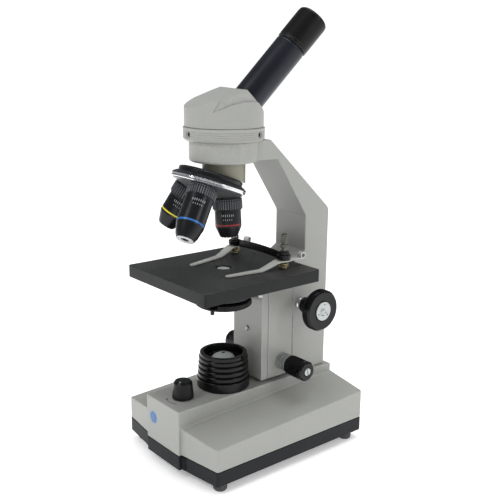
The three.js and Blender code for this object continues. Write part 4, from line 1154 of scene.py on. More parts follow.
@dataclass
class Focus:
    """The slide behind the stage with the knobs on both sides."""

    shop: Workshop
    half: float = 20.6
    arm_front: float = 42.5
    front: float = 12.6
    coarse: Point2 = (50.8, 130.5)
    knob_r: float = 19.0
    knob_face: float = 51.75
    cap_r: float = 8.8
    fine: Point2 = (29.8, 78.0)
    fine_r: float = 9.1
    fine_start: float = 32.3
    fine_end: float = 55.1
    neck_r: float = 8.1

    def slide(self) -> None:
        """The carriage with both its dovetails."""
        rear = self.arm_front - 0.3
        body = Shape.block(-self.half, self.half, self.front, rear, 64, 160).rounded(0.8, 3)
        deep = rear + 4.4
        tail = [(-8.8, rear - 1), (8.8, rear - 1), (8.8, rear), (11.8, deep), (-11.8, deep), (-8.8, rear)]
        low, back = self.front - 1, self.front + 5
        way = [(-7.2, low), (7.2, low), (7.2, low + 1), (9.7, back), (-9.7, back), (-7.2, low + 1)]
        slot = Shape.block(-3.3, 3.3, self.arm_front + 0.6, deep + 5, 71, 151)
        bore = drum(2.7, -30, 30, 0).moved(along((0, *self.fine), (1, 0, 0)))
        body.joined(Shape.prism(tail, 72, 150)).cut(slot, Shape.prism(way, 63, 154), bore)
        body.piece("slide_carriage", "coarse_slide", self.shop.finishes.paint, "body_paint", ["carriage"])
        self.shop.dress(self.shop.finishes.brass, "rack")
        self.shop.dress(self.shop.finishes.strip, "pinion_shaft", "fine_shaft")

    def coarse_side(self, word: str, side: int) -> None:
        """One coarse knob with its ridged rim, cap and collar.

        Args:
            word: the side, for the names.
            side: 1 for the right and -1 for the left.
        """
        made, face, y, z = self.shop.finishes, self.knob_face, *self.coarse
        way = along((0, y, z), (side, 0, 0))
        profile = [(3.05, 27.1), (7.2, 27.1), (7.6, 29), (7.6, face - 9.1), (self.knob_r - 1.6, face - 9.1)]
        profile += [(self.knob_r - 0.25, face - 7.9), (self.knob_r - 0.25, face - 1.5), (self.knob_r - 1.7, face)]
        profile += [(12.6, face - 0.25), (9.7, face - 0.25), (9.1, face - 0.9), (9.1, face - 1.6)]
        profile += [(0, face - 1.6), (0, face - 2.4), (3.05, face - 2.4), (3.05, 27.1)]
        knob = Shape.lathe(profile, 0.6, 128).moved(way)
        names = [f"coarse_knob_{word}"]
        knob.piece(f"coarse_wheel_{word}", "coarse_drive", made.gloss, "black_plastic", names)
        ridges = self.shop.patterns.flutes.grow(
            made.gloss.material(), Count=104, Sides=4, Radius=self.knob_r - 0.32, Bar=0.4, Length=6.0, Lean=0.0
        ).shifted(0, 0, face - 4.7).moved(way)
        ridges.piece(f"coarse_wheel_ridges_{word}", "coarse_drive", made.gloss, "black_plastic")
        cap = [(0, face - 1.5), (self.cap_r, face - 1.5), (self.cap_r, face + 0.55), (self.cap_r - 0.7, face + 0.7)]
        cap += [(4.4, face + 0.6), (3.6, face + 0.15), (0, face + 0.15)]
        disc = Shape.lathe(cap, 0.2, 96)
        holes = [drum(0.75, face - 0.5, face + 3, 0, 24).shifted(*polar(6.3, a)) for a in (50, 170, 290)]
        disc.cut(*holes).moved(way)
        disc.piece(f"coarse_disc_{word}", "coarse_drive", made.silver, "satin_silver", [f"coarse_cap_{word}"])
        head = Shape.lathe([(0, face), (2.3, face), (2.3, face + 0.45), (1.6, face + 0.7), (0, face + 0.72)], 0.1, 40)
        head.cut(Shape.block(-3, 3, -0.3, 0.3, face + 0.35, face + 2)).moved(way @ spin(35))
        head.piece(f"coarse_screw_{word}", "coarse_drive", made.silver, "satin_silver")
        collar = [(3.2, 20.9), (6, 20.9), (6, 23.2), (5.5, 23.6), (5.5, 24.2), (6, 24.6), (6, 26.8), (3.2, 26.8)]
        ring = Shape.lathe([*collar, collar[0]], 0.35, 72).moved(way)
        ring.piece(f"coarse_collar_{word}", "stand", made.chrome, "chrome", [f"shaft_collar_{word}"])

    def fine_side(self, word: str, side: int) -> None:
        """One fine knob with its ridges, grooved neck and slotted screw.

        Args:
            word: the side, for the names.
            side: 1 for the right and -1 for the left.
        """
        made, end = self.shop.finishes, self.fine_end
        way = along((0, *self.fine), (side, 0, 0))
        start, r = self.fine_start, self.fine_r
        profile = [(2.55, start), (r - 0.9, start), (r - 0.1, start + 1.1), (r - 0.3, start + 2)]
        profile += [(r - 0.3, end - 5.6), (r, end - 5.2), (r, end - 1.2), (r - 1.3, end), (4.2, end), (3.8, end - 0.5)]
        profile += [(3.8, end - 1.6), (0, end - 1.6), (0, end - 2.9), (2.55, end - 2.9), (2.55, start)]
        knob = Shape.lathe(profile, 0.5, 96).moved(way)
        knob.piece(f"fine_grip_{word}", "fine_drive", made.gloss, "black_plastic", [f"fine_knob_{word}"])
        long = end - 5.8 - start - 2.2
        ridges = self.shop.patterns.flutes.grow(
            made.gloss.material(), Count=46, Sides=6, Radius=r - 0.36, Bar=0.36, Length=long, Lean=0.0
        ).shifted(0, 0, start + 2.1 + long / 2).moved(way)
        ridges.piece(f"fine_grip_ridges_{word}", "fine_drive", made.gloss, "black_plastic")
        a, n = self.half + 0.3, self.neck_r
        neck = [(2.55, a), (n - 0.2, a), (n, a + 0.4), (n, a + 1.6), (n - 1.3, a + 2), (n - 1.3, a + 2.7)]
        neck += [(n - 0.3, a + 3.1), (n - 0.3, a + 6.5), (n - 1.3, a + 6.9), (n - 1.3, a + 7.6), (n, a + 8)]
        neck += [(n, start - 0.3), (2.55, start - 0.3), (2.55, a)]
        body = Shape.lathe(neck, 0.2, 96).moved(way)
        body.piece(f"fine_sleeve_{word}", "fine_drive", made.silver, "satin_silver", [f"fine_neck_{word}"])
        knurl = self.shop.patterns.flutes.grow(
            made.silver.material(), Count=60, Sides=4, Radius=n - 0.42, Bar=0.36, Length=3.2, Lean=0.0
        ).shifted(0, 0, a + 4.8).moved(way)
        knurl.piece(f"fine_sleeve_knurl_{word}", "fine_drive", made.silver, "satin_silver")
        head = drum(3.5, end - 1.5, end + 0.6, 0.3, 56)
        head.cut(Shape.block(-4, 4, -0.5, 0.5, end - 0.3, end + 2)).moved(way @ spin(12))
        head.piece(f"fine_end_screw_{word}", "fine_drive", made.silver, "satin_silver", [f"fine_screw_{word}"])

    def build(self) -> None:
        """Makes the slide and both sides' knobs."""
        self.slide()
        for word, side in (("left", -1), ("right", 1)):
            self.coarse_side(word, side)
            self.fine_side(word, side)


# ---- Stage --------------------------------------------------------------------------------


@dataclass
class Stage:
    """The stage on its bracket, with the condenser under it."""

    shop: Workshop
    half: float = 57.5
    long: float = 62.5
    axis_y: float = -23.4
    low: float = 162.0
    top: float = 173.0
    hole: float = 7.0
    posts: Point2 = (34.6, 16.8)
    edge_screw: Point2 = (55.0, -27.0)
    bracket_front: float = 4.7
    carriage_front: float = 12.6

    def plan(self, inset: float, radius: float) -> list[Point2]:
        """The stage's outline, drawn in."""
        x, y0, y1 = self.half - inset, self.axis_y - self.long + inset, self.axis_y + self.long - inset
        return soft_corners([(x, y0, radius), (x, y1, radius), (-x, y1, radius), (-x, y0, radius)], 8)

    def plate(self) -> None:
        """The black plate, hollow below, with the light hole and a small blind hole."""
        body = Shape.prism(self.plan(0, 2.0), self.low, self.top).rounded(0.5, 3)
        under = Shape.prism(self.plan(5, 2), self.low - 1, self.top - 6)
        rim = Shape.lathe([(0, 160), (self.hole, 160), (self.hole, self.top - 0.7), (self.hole + 0.9, self.top + 0.2),
                           (self.hole + 0.9, 180), (0, 180)], 0, 96).shifted(0, self.axis_y)
        posts = [drum(1.6, self.top - 3.5, 180, 0, 32).shifted(s * self.posts[0], self.posts[1]) for s in (-1, 1)]
        blind = drum(1.1, self.top - 2, 180, 0, 32).shifted(-20.5, 28.3)
        edge = drum(1.2, 161, 166, 0, 32).shifted(*self.edge_screw)
        body.cut(under, rim, blind, edge, *posts)
        body.piece("stage_table", "stage", self.shop.finishes.stage, "stage_black", ["stage_plate"])
        profile = [(0, 159.5), (1.8, 159.5), (1.8, 161.7), (1.0, 161.7), (1.0, 165.6), (0, 165.6)]
        screw = Shape.lathe(profile, 0.25, 40).shifted(*self.edge_screw)
        screw.piece("stage_edge_screw", "stage", self.shop.finishes.silver, "satin_silver", ["stage_screw"])

    def bracket(self) -> None:
        """The plate that carries the stage, and its slotted screw."""
        rear, front = self.carriage_front - 0.3, self.bracket_front
        body = Shape.block(-20.6, 20.6, front, rear, 64, 166.7).rounded(0.8, 3)
        deep = self.carriage_front + 4.7
        tail = [(-6.8, rear - 1), (6.8, rear - 1), (6.8, rear), (9.3, deep), (-9.3, deep), (-6.8, rear)]
        way = along((0, front, 110), (0, 1, 0))
        hole = drum(1.5, -2, 5, 0, 32).moved(way)
        body.joined(Shape.prism(tail, 72, 150)).cut(hole)
        body.piece("stage_carrier", "stage", self.shop.finishes.paint, "body_paint", ["stage_bracket"])
        profile = [(0, -1.6), (1.7, -1.5), (2.4, -0.9), (2.4, -0.3), (1.3, -0.2), (1.3, 4.5), (0, 4.5)]
        screw = Shape.lathe(profile, 0.15, 48).cut(Shape.block(-3, 3, -0.35, 0.35, -3, -0.9)).moved(way @ spin(20))
        screw.piece("carrier_screw", "stage", self.shop.finishes.silver, "satin_silver", ["bracket_screw"])

    def condenser(self) -> None:
        """The housing under the stage, its lens, and the iris ring with its lever."""
        made = self.shop.finishes
        profile = [(10.3, 145.2), (21.4, 145.2), (24, 146.6), (24, 149.4), (23.5, 149.9), (23.5, 150.6), (24, 151.1)]
        profile += [(24, 166.7), (8, 166.7), (8, 161), (10.3, 161), (10.3, 145.2)]
        body = Shape.lathe(profile, 0.5, 120).shifted(0, self.axis_y)
        body.piece("condenser_drum", "stage", made.anodised, "black_anodised", ["condenser_housing"])
        lens = [(0, 146.4), (5, 146.8), (9.6, 148), (10, 148.6), (10, 160.7), (6.6, 160.7), (6.6, 170.6)]
        glass = Shape.lathe([*lens, (5.6, 171.9), (3, 172.6), (0, 172.8)], 0.2, 72).shifted(0, self.axis_y)
        glass.piece("condenser_glass", "stage", made.dome, "glass", ["condenser_lens"])
        low, way = 138.7, Matrix.Translation((0, self.axis_y, 0))
        profile = [(8, low), (23.4, low), (25.1, low + 1.2), (25.1, low + 5), (24.2, 144.9), (8, 144.9), (8, low)]
        ring = Shape.lathe(profile, 0.4, 120)
        lever = Shape.block(23, 30.8, -3.2, 3.2, low + 2.6, low + 4.4).rounded(0.6, 3)
        nub = drum(1.8, low - 1, low + 3, 0.4, 32).shifted(28.6, 0)
        ring.joined(lever.joined(nub).moved(spin(-57))).moved(way)
        ring.piece("iris_collar", "iris", made.plastic, "black_plastic", ["iris_ring"])
        knurl = self.shop.patterns.flutes.grow(
            made.plastic.material(), Count=110, Sides=4, Radius=25.0, Bar=0.36, Length=3.0, Lean=0.0
        ).shifted(0, self.axis_y, low + 2.9)
        knurl.piece("iris_collar_knurl", "iris", made.plastic, "black_plastic")

    def build(self) -> None:
        """Makes the stage, its bracket and the condenser."""
        self.plate()
        self.bracket()
        self.condenser()


@dataclass
class Clips:
    """Both slide clips with their posts, springs and the bar between them."""

    shop: Workshop
    stage_top: float = 173.0
    x: float = 34.6
    y: float = 16.8
    level: float = 180.0
    eye: float = 181.4
    tips: dict[int, Point2] = field(default_factory=lambda: {-1: (-18.8, -45.5), 1: (28.5, -43.0)})

    def arm(self, word: str, side: int) -> None:
        """A bent strip: a tail behind the post, a ramp in front and a tip on the slide.

        Args:
            word: the side, for the names.
            side: 1 for the right and -1 for the left.
        """
        dx, dy = self.tips[side][0] - side * self.x, self.tips[side][1] - self.y
        reach, heading = math.hypot(dx, dy), math.degrees(math.atan2(dy, dx))
        low, high, thick = self.stage_top + 0.5, self.level - 0.5, 1.0
        path = [(-23, high, 0.0), (7, high, 9.0), (19, low + 1.6, 9.0), (24.5, low, 5.0), (reach + 1, low, 0.0)]
        upper = [(a, z + thick, r) for a, z, r in reversed(path)]
        strip = Shape.prism(soft_corners(path + upper, 5), -7, 7, across=True)
        plan = [(-17, 2.9, 1.0), (-7, 3.3, 3.0), (-3, 5.2, 2.0), (4, 5.0, 3.0), (10, 4.4, 4.0), (24, 3.5, 4.0)]
        plan += [(reach - 3, 2.5, 2.0), (reach, 1.2, 0.6)]
        other = [(a, -b, r) for a, b, r in reversed(plan)]
        tail = [(-19.6, -2.6, 0.0), (-19.6, 2.6, 0.0)]
        shape = Shape.prism([(b, a) for a, b in soft_corners(plan + other + tail, 5)], 160, 190)
        roll = hoop(1.8, 2.8, -2.6, 2.6, 0.1, 48).moved(along((0, -19.6, high + 2.8), (1, 0, 0)))
        clip = strip.common(shape).joined(roll).cut(drum(2.2, 160, 190, 0, 48)).rounded(0.14, 2, 40)
        clip.moved(Matrix.Translation((side * self.x, self.y, 0)) @ spin(heading - 90))
        clip.piece(f"clip_strip_{word}", f"clip_{word}", self.shop.finishes.strip, "satin_silver", [f"clip_arm_{word}"])

    def post(self, word: str, side: int) -> None:
        """A stepped post, its knurled head and the coil spring under the clip.

        Args:
            word: the side, for the names.
            side: 1 for the right and -1 for the left.
        """
        made, eye, foot = self.shop.finishes, self.eye + (7 if side > 0 else 4), self.stage_top
        points = [(0, foot - 3), (1.3, foot - 3), (1.3, foot + 0.3), (2.9, foot + 0.3), (2.9, foot + 0.9)]
        points += [(2, foot + 1.1), (2, eye + 0.3)]
        if side > 0:
            points += [(2, eye + 3.2), (3.2, eye + 3.3), (3.2, eye + 6), (2.2, eye + 6.5), (2.2, eye + 7.4)]
            points += [(2.75, eye + 8), (2.75, eye + 15), (2.1, eye + 15.8), (0, eye + 15.8)]
            grips = [(3.2, eye + 4.65, 2.0), (2.75, eye + 11.5, 5.6)]
        else:
            points += [(3.4, eye + 0.4), (3.4, eye + 4.6), (2.8, eye + 5.2), (0, eye + 5.2)]
            grips = [(3.4, eye + 2.5, 3.4)]
        body = Shape.lathe(points, 0.25, 56).shifted(side * self.x, self.y)
        body.piece(f"clip_stud_{word}", "stage", made.steel, "satin_silver", [f"clip_post_{word}"])
        for number, (r, z, long) in enumerate(grips):
            knurl = self.shop.patterns.flutes.grow(
                made.steel.material(), Count=24, Sides=4, Radius=r - 0.05, Bar=0.26, Length=long, Lean=0.0
            ).shifted(side * self.x, self.y, z)
            knurl.piece(f"clip_stud_knurl_{word}_{number}", "stage", made.steel, "satin_silver")
        bottom, top = foot + 0.9, self.level - 1.35
        coil = self.shop.patterns.coil.grow(
            made.brass.material(), Turns=3.0, Radius=3.9, Wire=0.48, Height=top - bottom
        ).shifted(side * self.x, self.y, bottom)
        coil.piece(f"clip_coil_{word}", "stage", made.brass, "brass", [f"clip_spring_{word}"])

    def bar(self) -> None:
        """The bowed bar with an eye at each end."""
        gloss, low = self.shop.finishes.gloss, self.eye
        bow = self.shop.patterns.bow.grow(
            gloss.material(), Span=2 * self.x, Rise=1.8, Width=6.6, Thick=1.8, Round=0.6
        ).shifted(0, 0, low + 1.5).outward()
        left = Shape.lathe([(0, low), (6, low), (6, low + 4), (0, low + 4)], 0.5, 72).shifted(-self.x, 0)
        right = [(0, low), (6, low), (6, low + 4), (4.1, low + 4), (4.1, low + 7)]
        tall = Shape.lathe([*right, (0, low + 7)], 0.4, 72).shifted(self.x, 0)
        holes = [drum(2.1, low - 5, low + 15, 0, 48).shifted(s * self.x, 0) for s in (-1, 1)]
        bow.joined(left, tall).cut(*holes).shifted(0, self.y)
        bow.piece("bridge_strip", "stage", gloss, "gloss_black", ["clip_bridge_bar"])
        grip = self.shop.patterns.flutes.grow(
            gloss.material(), Count=16, Sides=6, Radius=4.1, Bar=0.35, Length=2.4, Lean=0.0
        ).shifted(self.x, self.y, low + 5.5)
        grip.piece("bridge_hub_grip", "stage", gloss, "gloss_black")

    def build(self) -> None:
        """Makes both clips and the bar."""
        for word, side in (("left", -1), ("right", 1)):
            self.arm(word, side)
            self.post(word, side)
        self.bar()


# ---- Turret -------------------------------------------------------------------------------


@dataclass(frozen=True)
class Barrel:
    """One objective: its place on the turret and its sections, from the shoulder outwards."""

    power: str
    index: int
    profile: tuple[Point2, ...]
    band: tuple[float, float]
    bore: float
    front_ring: tuple[float, float]


@dataclass
class Turret:
    """The fixed neck and plate, the turning turret, its rim and three objectives."""

    shop: Workshop
    axis_y: float = -23.4
    apex_z: float = 293.7
    tilt: float = 20.0
    rest: float = 17.0
    seat: float = 55.8
    pad: float = 2.1
    barrels: tuple[Barrel, ...] = (
        Barrel("4x", 0, ((12.9, 2.4), (12.9, 12.4), (11.4, 13), (11.4, 26.6), (10.9, 28), (7.9, 35.1), (7.2, 35.9)),
               (24.2, 25.9), 5.4, (5.6, 7.0)),
        Barrel("40x", 1, ((12.9, 2.4), (12.8, 11.6), (11.8, 12.2), (11.8, 36.2), (11, 38.6), (9.6, 44.6), (7.6, 48.7)),
               (33.6, 35.4), 3.0, (3.6, 7.2)),
        Barrel("10x", 2, ((12.9, 2.4), (12.9, 12.4), (11.5, 13), (11.5, 30.4), (11, 32), (8, 40.3), (7.1, 41.5)),
               (27.4, 29.0), 5.4, (5.5, 6.9)),
    )

    def axis(self) -> Vector:
        """The turret's own axis, pointing down and forwards."""
        lean = math.radians(self.tilt)
        return Vector((0, -math.sin(lean), -math.cos(lean)))

    def frame(self) -> Matrix:
        """Lays what is made along +Z on the turret's axis."""
        return along((0, self.axis_y, self.apex_z), self.axis())

    def way(self, index: int) -> Matrix:
        """Lays what is made along +Z on an objective's axis."""
        turn = Matrix.Rotation(math.radians(self.rest + 120 * index), 3, self.axis())
        return along((0, self.axis_y, self.apex_z), turn @ Vector((0, 0, -1)))

    def fixed(self) -> None:
        """The cream neck under the arm, and the black plate on it."""
        made = self.shop.finishes
        neck = drum(18.6, self.apex_z - 50, 266.9, 0.3, 120).shifted(0, self.axis_y)
        below = drum(80, 38.1, 120, 0, 48).moved(self.frame())
        light = drum(10, 230, 290, 0, 72).shifted(0, self.axis_y)
        neck.cut(below, light).piece("turret_neck", "stand", made.cream, "neck_paint", ["nosepiece_neck"])
        profile = [(0, 38.4), (25, 38.4), (27.4, 39.2), (28, 40.2), (28, 43), (0, 43)]
        plate = Shape.lathe(profile, 0.4, 128).moved(self.frame())
        light = drum(9, 230, 290, 0, 72).shifted(0, self.axis_y)
        pivot = drum(2.4, 40, 50, 0, 32).moved(self.frame())
        plate.cut(light, pivot)
        plate.piece("turret_plate", "stand", made.anodised, "black_anodised", ["nosepiece_plate"])
        self.shop.dress(made.strip, "turret_screw")

    def cone(self, radius: float) -> float:
        """Where the seats' cone stands at a radius."""
        lean = math.radians(self.tilt)
        return (self.seat - radius * math.sin(lean)) / math.cos(lean)

    def body(self) -> None:
        """The turning disc with flat seats, and the bright rim round it."""
        made = self.shop.finishes
        profile = [(2.6, 43.3), (29.4, 43.3), (32.4, 45.4), (32.4, 45.8), (30.6, 45.8), (30.6, 50.1), (30.9, 50.2)]
        deep = self.cone(11) + self.pad
        profile += [(24, self.cone(24) + self.pad), (11, deep), (9, deep - 0.4), (7, 55.6), (7, 54), (2.6, 54)]
        profile += [(2.6, 43.3)]
        disc = Shape.lathe(profile, 0.3, 144).moved(self.frame())
        for index in range(3):
            disc.cut(drum(12.0, self.seat - 3, self.seat + 9, 0, 96).moved(self.way(index)))
            disc.cut(drum(10.1, 30, 70, 0, 72).moved(self.way(index)))
        disc.piece("turret_disc", "nosepiece", made.cone, "black_anodised", ["turret"])
        upper = [(20, 43.25), (29.5, 43.25), (32.55, 45.35), (32.55, 45.85), (31, 45.85), (29, 43.9), (20, 43.9)]
        ring = Shape.lathe([*upper, upper[0]], 0.1, 144).moved(self.frame())
        ring.piece("turret_top_ring", "nosepiece", made.anodised, "black_anodised")
        for barrel in self.barrels:
            seat = hoop(10.1, 11.95, self.seat - 2.9, self.seat + self.pad, 0.2, 96).moved(self.way(barrel.index))
            seat.piece(f"turret_seat_{barrel.power}", "nosepiece", made.anodised, "black_anodised")
        profile = [(30.9, 46), (32.3, 46), (32.8, 46.5), (32.8, 47.2), (32.5, 47.35), (32.5, 47.55), (32.8, 47.7)]
        profile += [(32.8, 49.2), (32.0, 49.8), (30.9, 49.8), (30.9, 46)]
        rim = Shape.lathe(profile, 0.15, 144).moved(self.frame())
        rim.piece("turret_bright_rim", "nosepiece", made.chrome, "chrome", ["turret_rim"])

    def objective(self, barrel: Barrel) -> None:
        """One objective: barrel, ridged grip, colour band, marks and front ring.

        Args:
            barrel: its sizes and its place on the turret.
        """
        made, way, seat = self.shop.finishes, self.way(barrel.index), self.seat
        tag = f"objective_{barrel.power}"
        slot = {"4x": "objective_red", "40x": "objective_blue", "10x": "objective_yellow"}[barrel.power]
        front = barrel.profile[-1][1]
        grip, body = barrel.profile[1], barrel.profile[2]
        points = [(6.4, seat - 3.6), (9.8, seat - 3.6), (9.8, seat + self.pad + 0.3)]
        points += [(grip[0] - 0.8 if k < 2 else r, seat + d) for k, (r, d) in enumerate(barrel.profile)]
        low, high = barrel.band
        spot = next(k for k, (r, z) in enumerate(points) if z > seat + high)
        r = body[0]
        groove = [(r, seat + low), (r - 0.3, seat + low + 0.05), (r - 0.3, seat + high - 0.05), (r, seat + high)]
        points[spot:spot] = groove
        points += [(barrel.front_ring[1], seat + front), (barrel.bore, seat + front - 0.8)]
        points += [(barrel.bore, seat + front - 3), (6.4, seat + 20), (6.4, seat - 3.6)]
        Shape.lathe(points, 0.25, 96).moved(way).piece(f"{tag}_barrel", "nosepiece", made.anodised, slot, [tag])
        long = grip[1] - 2.4 - 1.6
        for number, (start, reach) in enumerate(((2.9, 1.1), (4.6, long - 1.5))):
            flutes = self.shop.patterns.flutes.grow(
                made.ridge.material(), Count=38, Sides=6, Radius=grip[0] - 0.62, Bar=0.62, Length=reach, Lean=0.0
            ).shifted(0, 0, seat + start + reach / 2).moved(way)
            flutes.piece(f"{tag}_flutes_{number}", "nosepiece", made.ridge, slot)
        colour = {"4x": made.red, "40x": made.blue, "10x": made.yellow}[barrel.power]
        ring = hoop(r - 0.5, r + 0.02, seat + low + 0.1, seat + high - 0.1, 0.1, 96).moved(way)
        ring.piece(f"{tag}_band", "nosepiece", colour, slot)
        toward = way.to_3x3().inverted() @ Vector((0.77, -0.64, 0.0))
        for number, (away, size, turn) in enumerate(((16.6, 1.9, 50), (20.2, 1.1, 36))):
            marks = self.shop.patterns.strokes.grow(
                made.white.material(), Count=7 - 2 * number, Radius=r + 0.01,
                Start=math.atan2(toward.y, toward.x) - math.radians(turn / 2),
                Sweep=math.radians(turn), Size=(0.08, 0.45, size),
            ).shifted(0, 0, seat + away).moved(way)
            marks.piece(f"{tag}_marks_{number}", "nosepiece", made.white, slot)
        inner, outer = barrel.front_ring
        ring = hoop(inner, outer + 0.15, seat + front - 0.7, seat + front + 0.12, 0.2, 72).moved(way)
        ring.piece(f"{tag}_front_ring", "nosepiece", made.tip, "chrome")
        dashes = self.shop.patterns.strokes.grow(
            made.tip.material(), Count=15, Radius=outer + 0.2, Start=0.0, Sweep=math.radians(336), Size=(0.5, 1.3, 0.9)
        ).shifted(0, 0, seat + front - 0.4).moved(way)
        dashes.piece(f"{tag}_front_dashes", "nosepiece", made.tip, "chrome")
        glass = Shape.lathe([(0, seat + front - 2.6), (inner + 0.1, seat + front - 2.6),
                             (inner + 0.1, seat + front - 1.2), (0, seat + front - 0.3)], 0.1, 48).moved(way)
        glass.piece(f"{tag}_front_lens", "nosepiece", made.gloss, "glass")

    def build(self) -> None:
        """Makes the turret and its objectives."""
        self.fixed()
        self.body()
        for barrel in self.barrels:
            self.objective(barrel)


# ---- Head ---------------------------------------------------------------------------------


@dataclass
class Head:
    """The turning head with its collar, the inclined tube and the eyepiece."""

    shop: Workshop
    axis_y: float = -23.4
    collar_low: float = 285.3
    collar_top: float = 296.4
    collar_r: float = 34.8
    head_r: float = 33.7
    spigot_r: float = 26.0
    yaw: float = -17.0
    lean: float = 41.5
    front_lean: float = 20.0
    centre_z: float = 294.2
    ridge: Point2 = (8.4, 328.0)
    tube_r: float = 13.6
    tube_ends: Point2 = (31.2, 91.6)
    eyepiece_r: float = 14.2
    eyepiece_end: float = 124.0
    screws: dict[str, float] = field(default_factory=lambda: {"front": -97.0, "right": 23.0, "left": 143.0})

    def tube_way(self) -> Matrix:
        """Lays what is made along +Z on the tube's axis.

        Returns:
            The matrix that does it.
        """
        back = Matrix.Rotation(math.radians(self.yaw), 3, "Z") @ Vector((0, 1, 0))
        axis = back * math.sin(math.radians(self.lean)) + Vector((0, 0, math.cos(math.radians(self.lean))))
        return along((0, self.axis_y, self.centre_z), axis)

    def above(self, lean: float) -> Shape:
        """What lies over a plane through the ridge.

        Args:
            lean: how far the plane falls away to the rear, in degrees.

        Returns:
            The solid to cut away.
        """
        block = Shape.block(-60, 60, -90, 90, 0, 70)
        tilt = Matrix.Rotation(math.radians(-lean), 4, "X")
        place = Matrix.Translation((0, self.axis_y, 0)) @ spin(self.yaw) @ Matrix.Translation((0, *self.ridge))
        return block.moved(place @ tilt)

    def sweep(self, side: int) -> Shape:
        """The curved recess on one side of the head.

        Args:
            side: 1 for the right and -1 for the left.

        Returns:
            The solid to cut away.
        """
        lower = [(-35.4, 310.1), (-22, 312.9), (-9, 316), (9.3, 318.2), (27.6, 318.1), (46, 316.4), (60, 314)]
        upper = [(-35.4, 310.6), (-26.7, 319.4), (-19.4, 322.7), (-9.3, 325.8), (1.5, 329), (12, 334), (60, 345)]

        def height(line: list[Point2], at: float) -> float:
            """Reads a line at an angle.

            Args:
                line: angles and heights, in rising order.
                at: the angle, in degrees.

            Returns:
                The height there.
            """
            for (a, low), (b, high) in zip(line, line[1:]):
                if at <= b:
                    return low + (high - low) * (at - a) / (b - a)
            return line[-1][1]

        columns = [-35.4 + 95.4 * k / 48 for k in range(49)]
        spots, faces = [], []
        for at in columns:
            deep = self.head_r - 2.1 * min(1.0, 0.2 + (at + 35.4) / 26)
            for radius in (deep, self.head_r + 4):
                for line in (lower, upper):
                    x, y = polar(radius, at)
                    spots.append((side * x, y, height(line, at)))
        for k in range(48):
            a, b = 4 * k, 4 * k + 4
            faces += [(a, a + 1, b + 1, b), (a + 2, b + 2, b + 3, a + 3)]
            faces += [(a, b, b + 2, a + 2), (a + 1, a + 3, b + 3, b + 1)]
        last = 4 * 48
        faces += [(0, 2, 3, 1), (last, last + 1, last + 3, last + 2)]
        mesh = bpy.data.meshes.new("sweep")
        mesh.from_pydata(spots, [], faces)
        return Shape(mesh).outward().moved(Matrix.Translation((0, self.axis_y, 0)) @ spin(self.yaw))

    def collar(self) -> None:
        """The collar with fine turned grooves and its three set screws."""
        made, r = self.shop.finishes, self.collar_r
        low, top = self.collar_low, self.collar_top
        points = [(self.spigot_r + 0.3, low), (r - 1.6, low), (r - 0.2, low + 1.6)]
        for k in range(4):
            z = low + 2.4 + 1.8 * k
            points += [(r - 0.2, z), (r - 0.5, z + 0.15), (r - 0.5, z + 0.45), (r - 0.2, z + 0.6)]
        points += [(r, top - 1.6), (r, top - 0.5), (r - 0.7, top), (self.spigot_r + 0.3, top)]
        body = Shape.lathe([*points, points[0]], 0.2, 160).shifted(0, self.axis_y)
        ways = {word: along((0, self.axis_y, 291.0), (*polar(1, angle), 0)) for word, angle in self.screws.items()}
        for way in ways.values():
            seat = [(0, 20), (2.1, 20), (2.1, r - 1.3), (3.2, r - 0.9), (3.2, 40), (0, 40)]
            body.cut(Shape.lathe(seat, 0, 40).moved(way))
        body.piece("head_ring", "stand", made.paint, "body_paint", ["head_collar"])
        for word, way in ways.items():
            screw = drum(1.8, 26.6, r - 0.9, 0.25, 40).cut(drum(0.95, r - 3, r + 1, 0, 6)).moved(way)
            screw.piece(f"ring_screw_{word}", "stand", made.anodised, "black_anodised", [f"collar_screw_{word}"])

    def body(self) -> None:
        """The head: a short cylinder cut by two slopes, with a curved recess on each side."""
        made = self.shop.finishes
        low = self.collar_top + 0.3
        shell = drum(self.head_r, low, self.ridge[1] + 10, 0, 192).shifted(0, self.axis_y)
        shell.cut(self.above(self.lean), self.above(-self.front_lean)).rounded(1.1, 3)
        shell.cut(self.sweep(1), self.sweep(-1))
        spigot = drum(self.spigot_r, self.collar_low, low + 1, 0.2, 128).shifted(0, self.axis_y)
        cavity = drum(18, 283, 309, 0, 64).shifted(0, self.axis_y)
        passage = drum(11.9, 0, 60, 0, 64).moved(self.tube_way())
        shell.joined(spigot).cut(cavity, passage)
        shell.piece("head_shell", "head", made.paint, "body_paint", ["head_body"])
        self.shop.dress(made.glass, "prism")

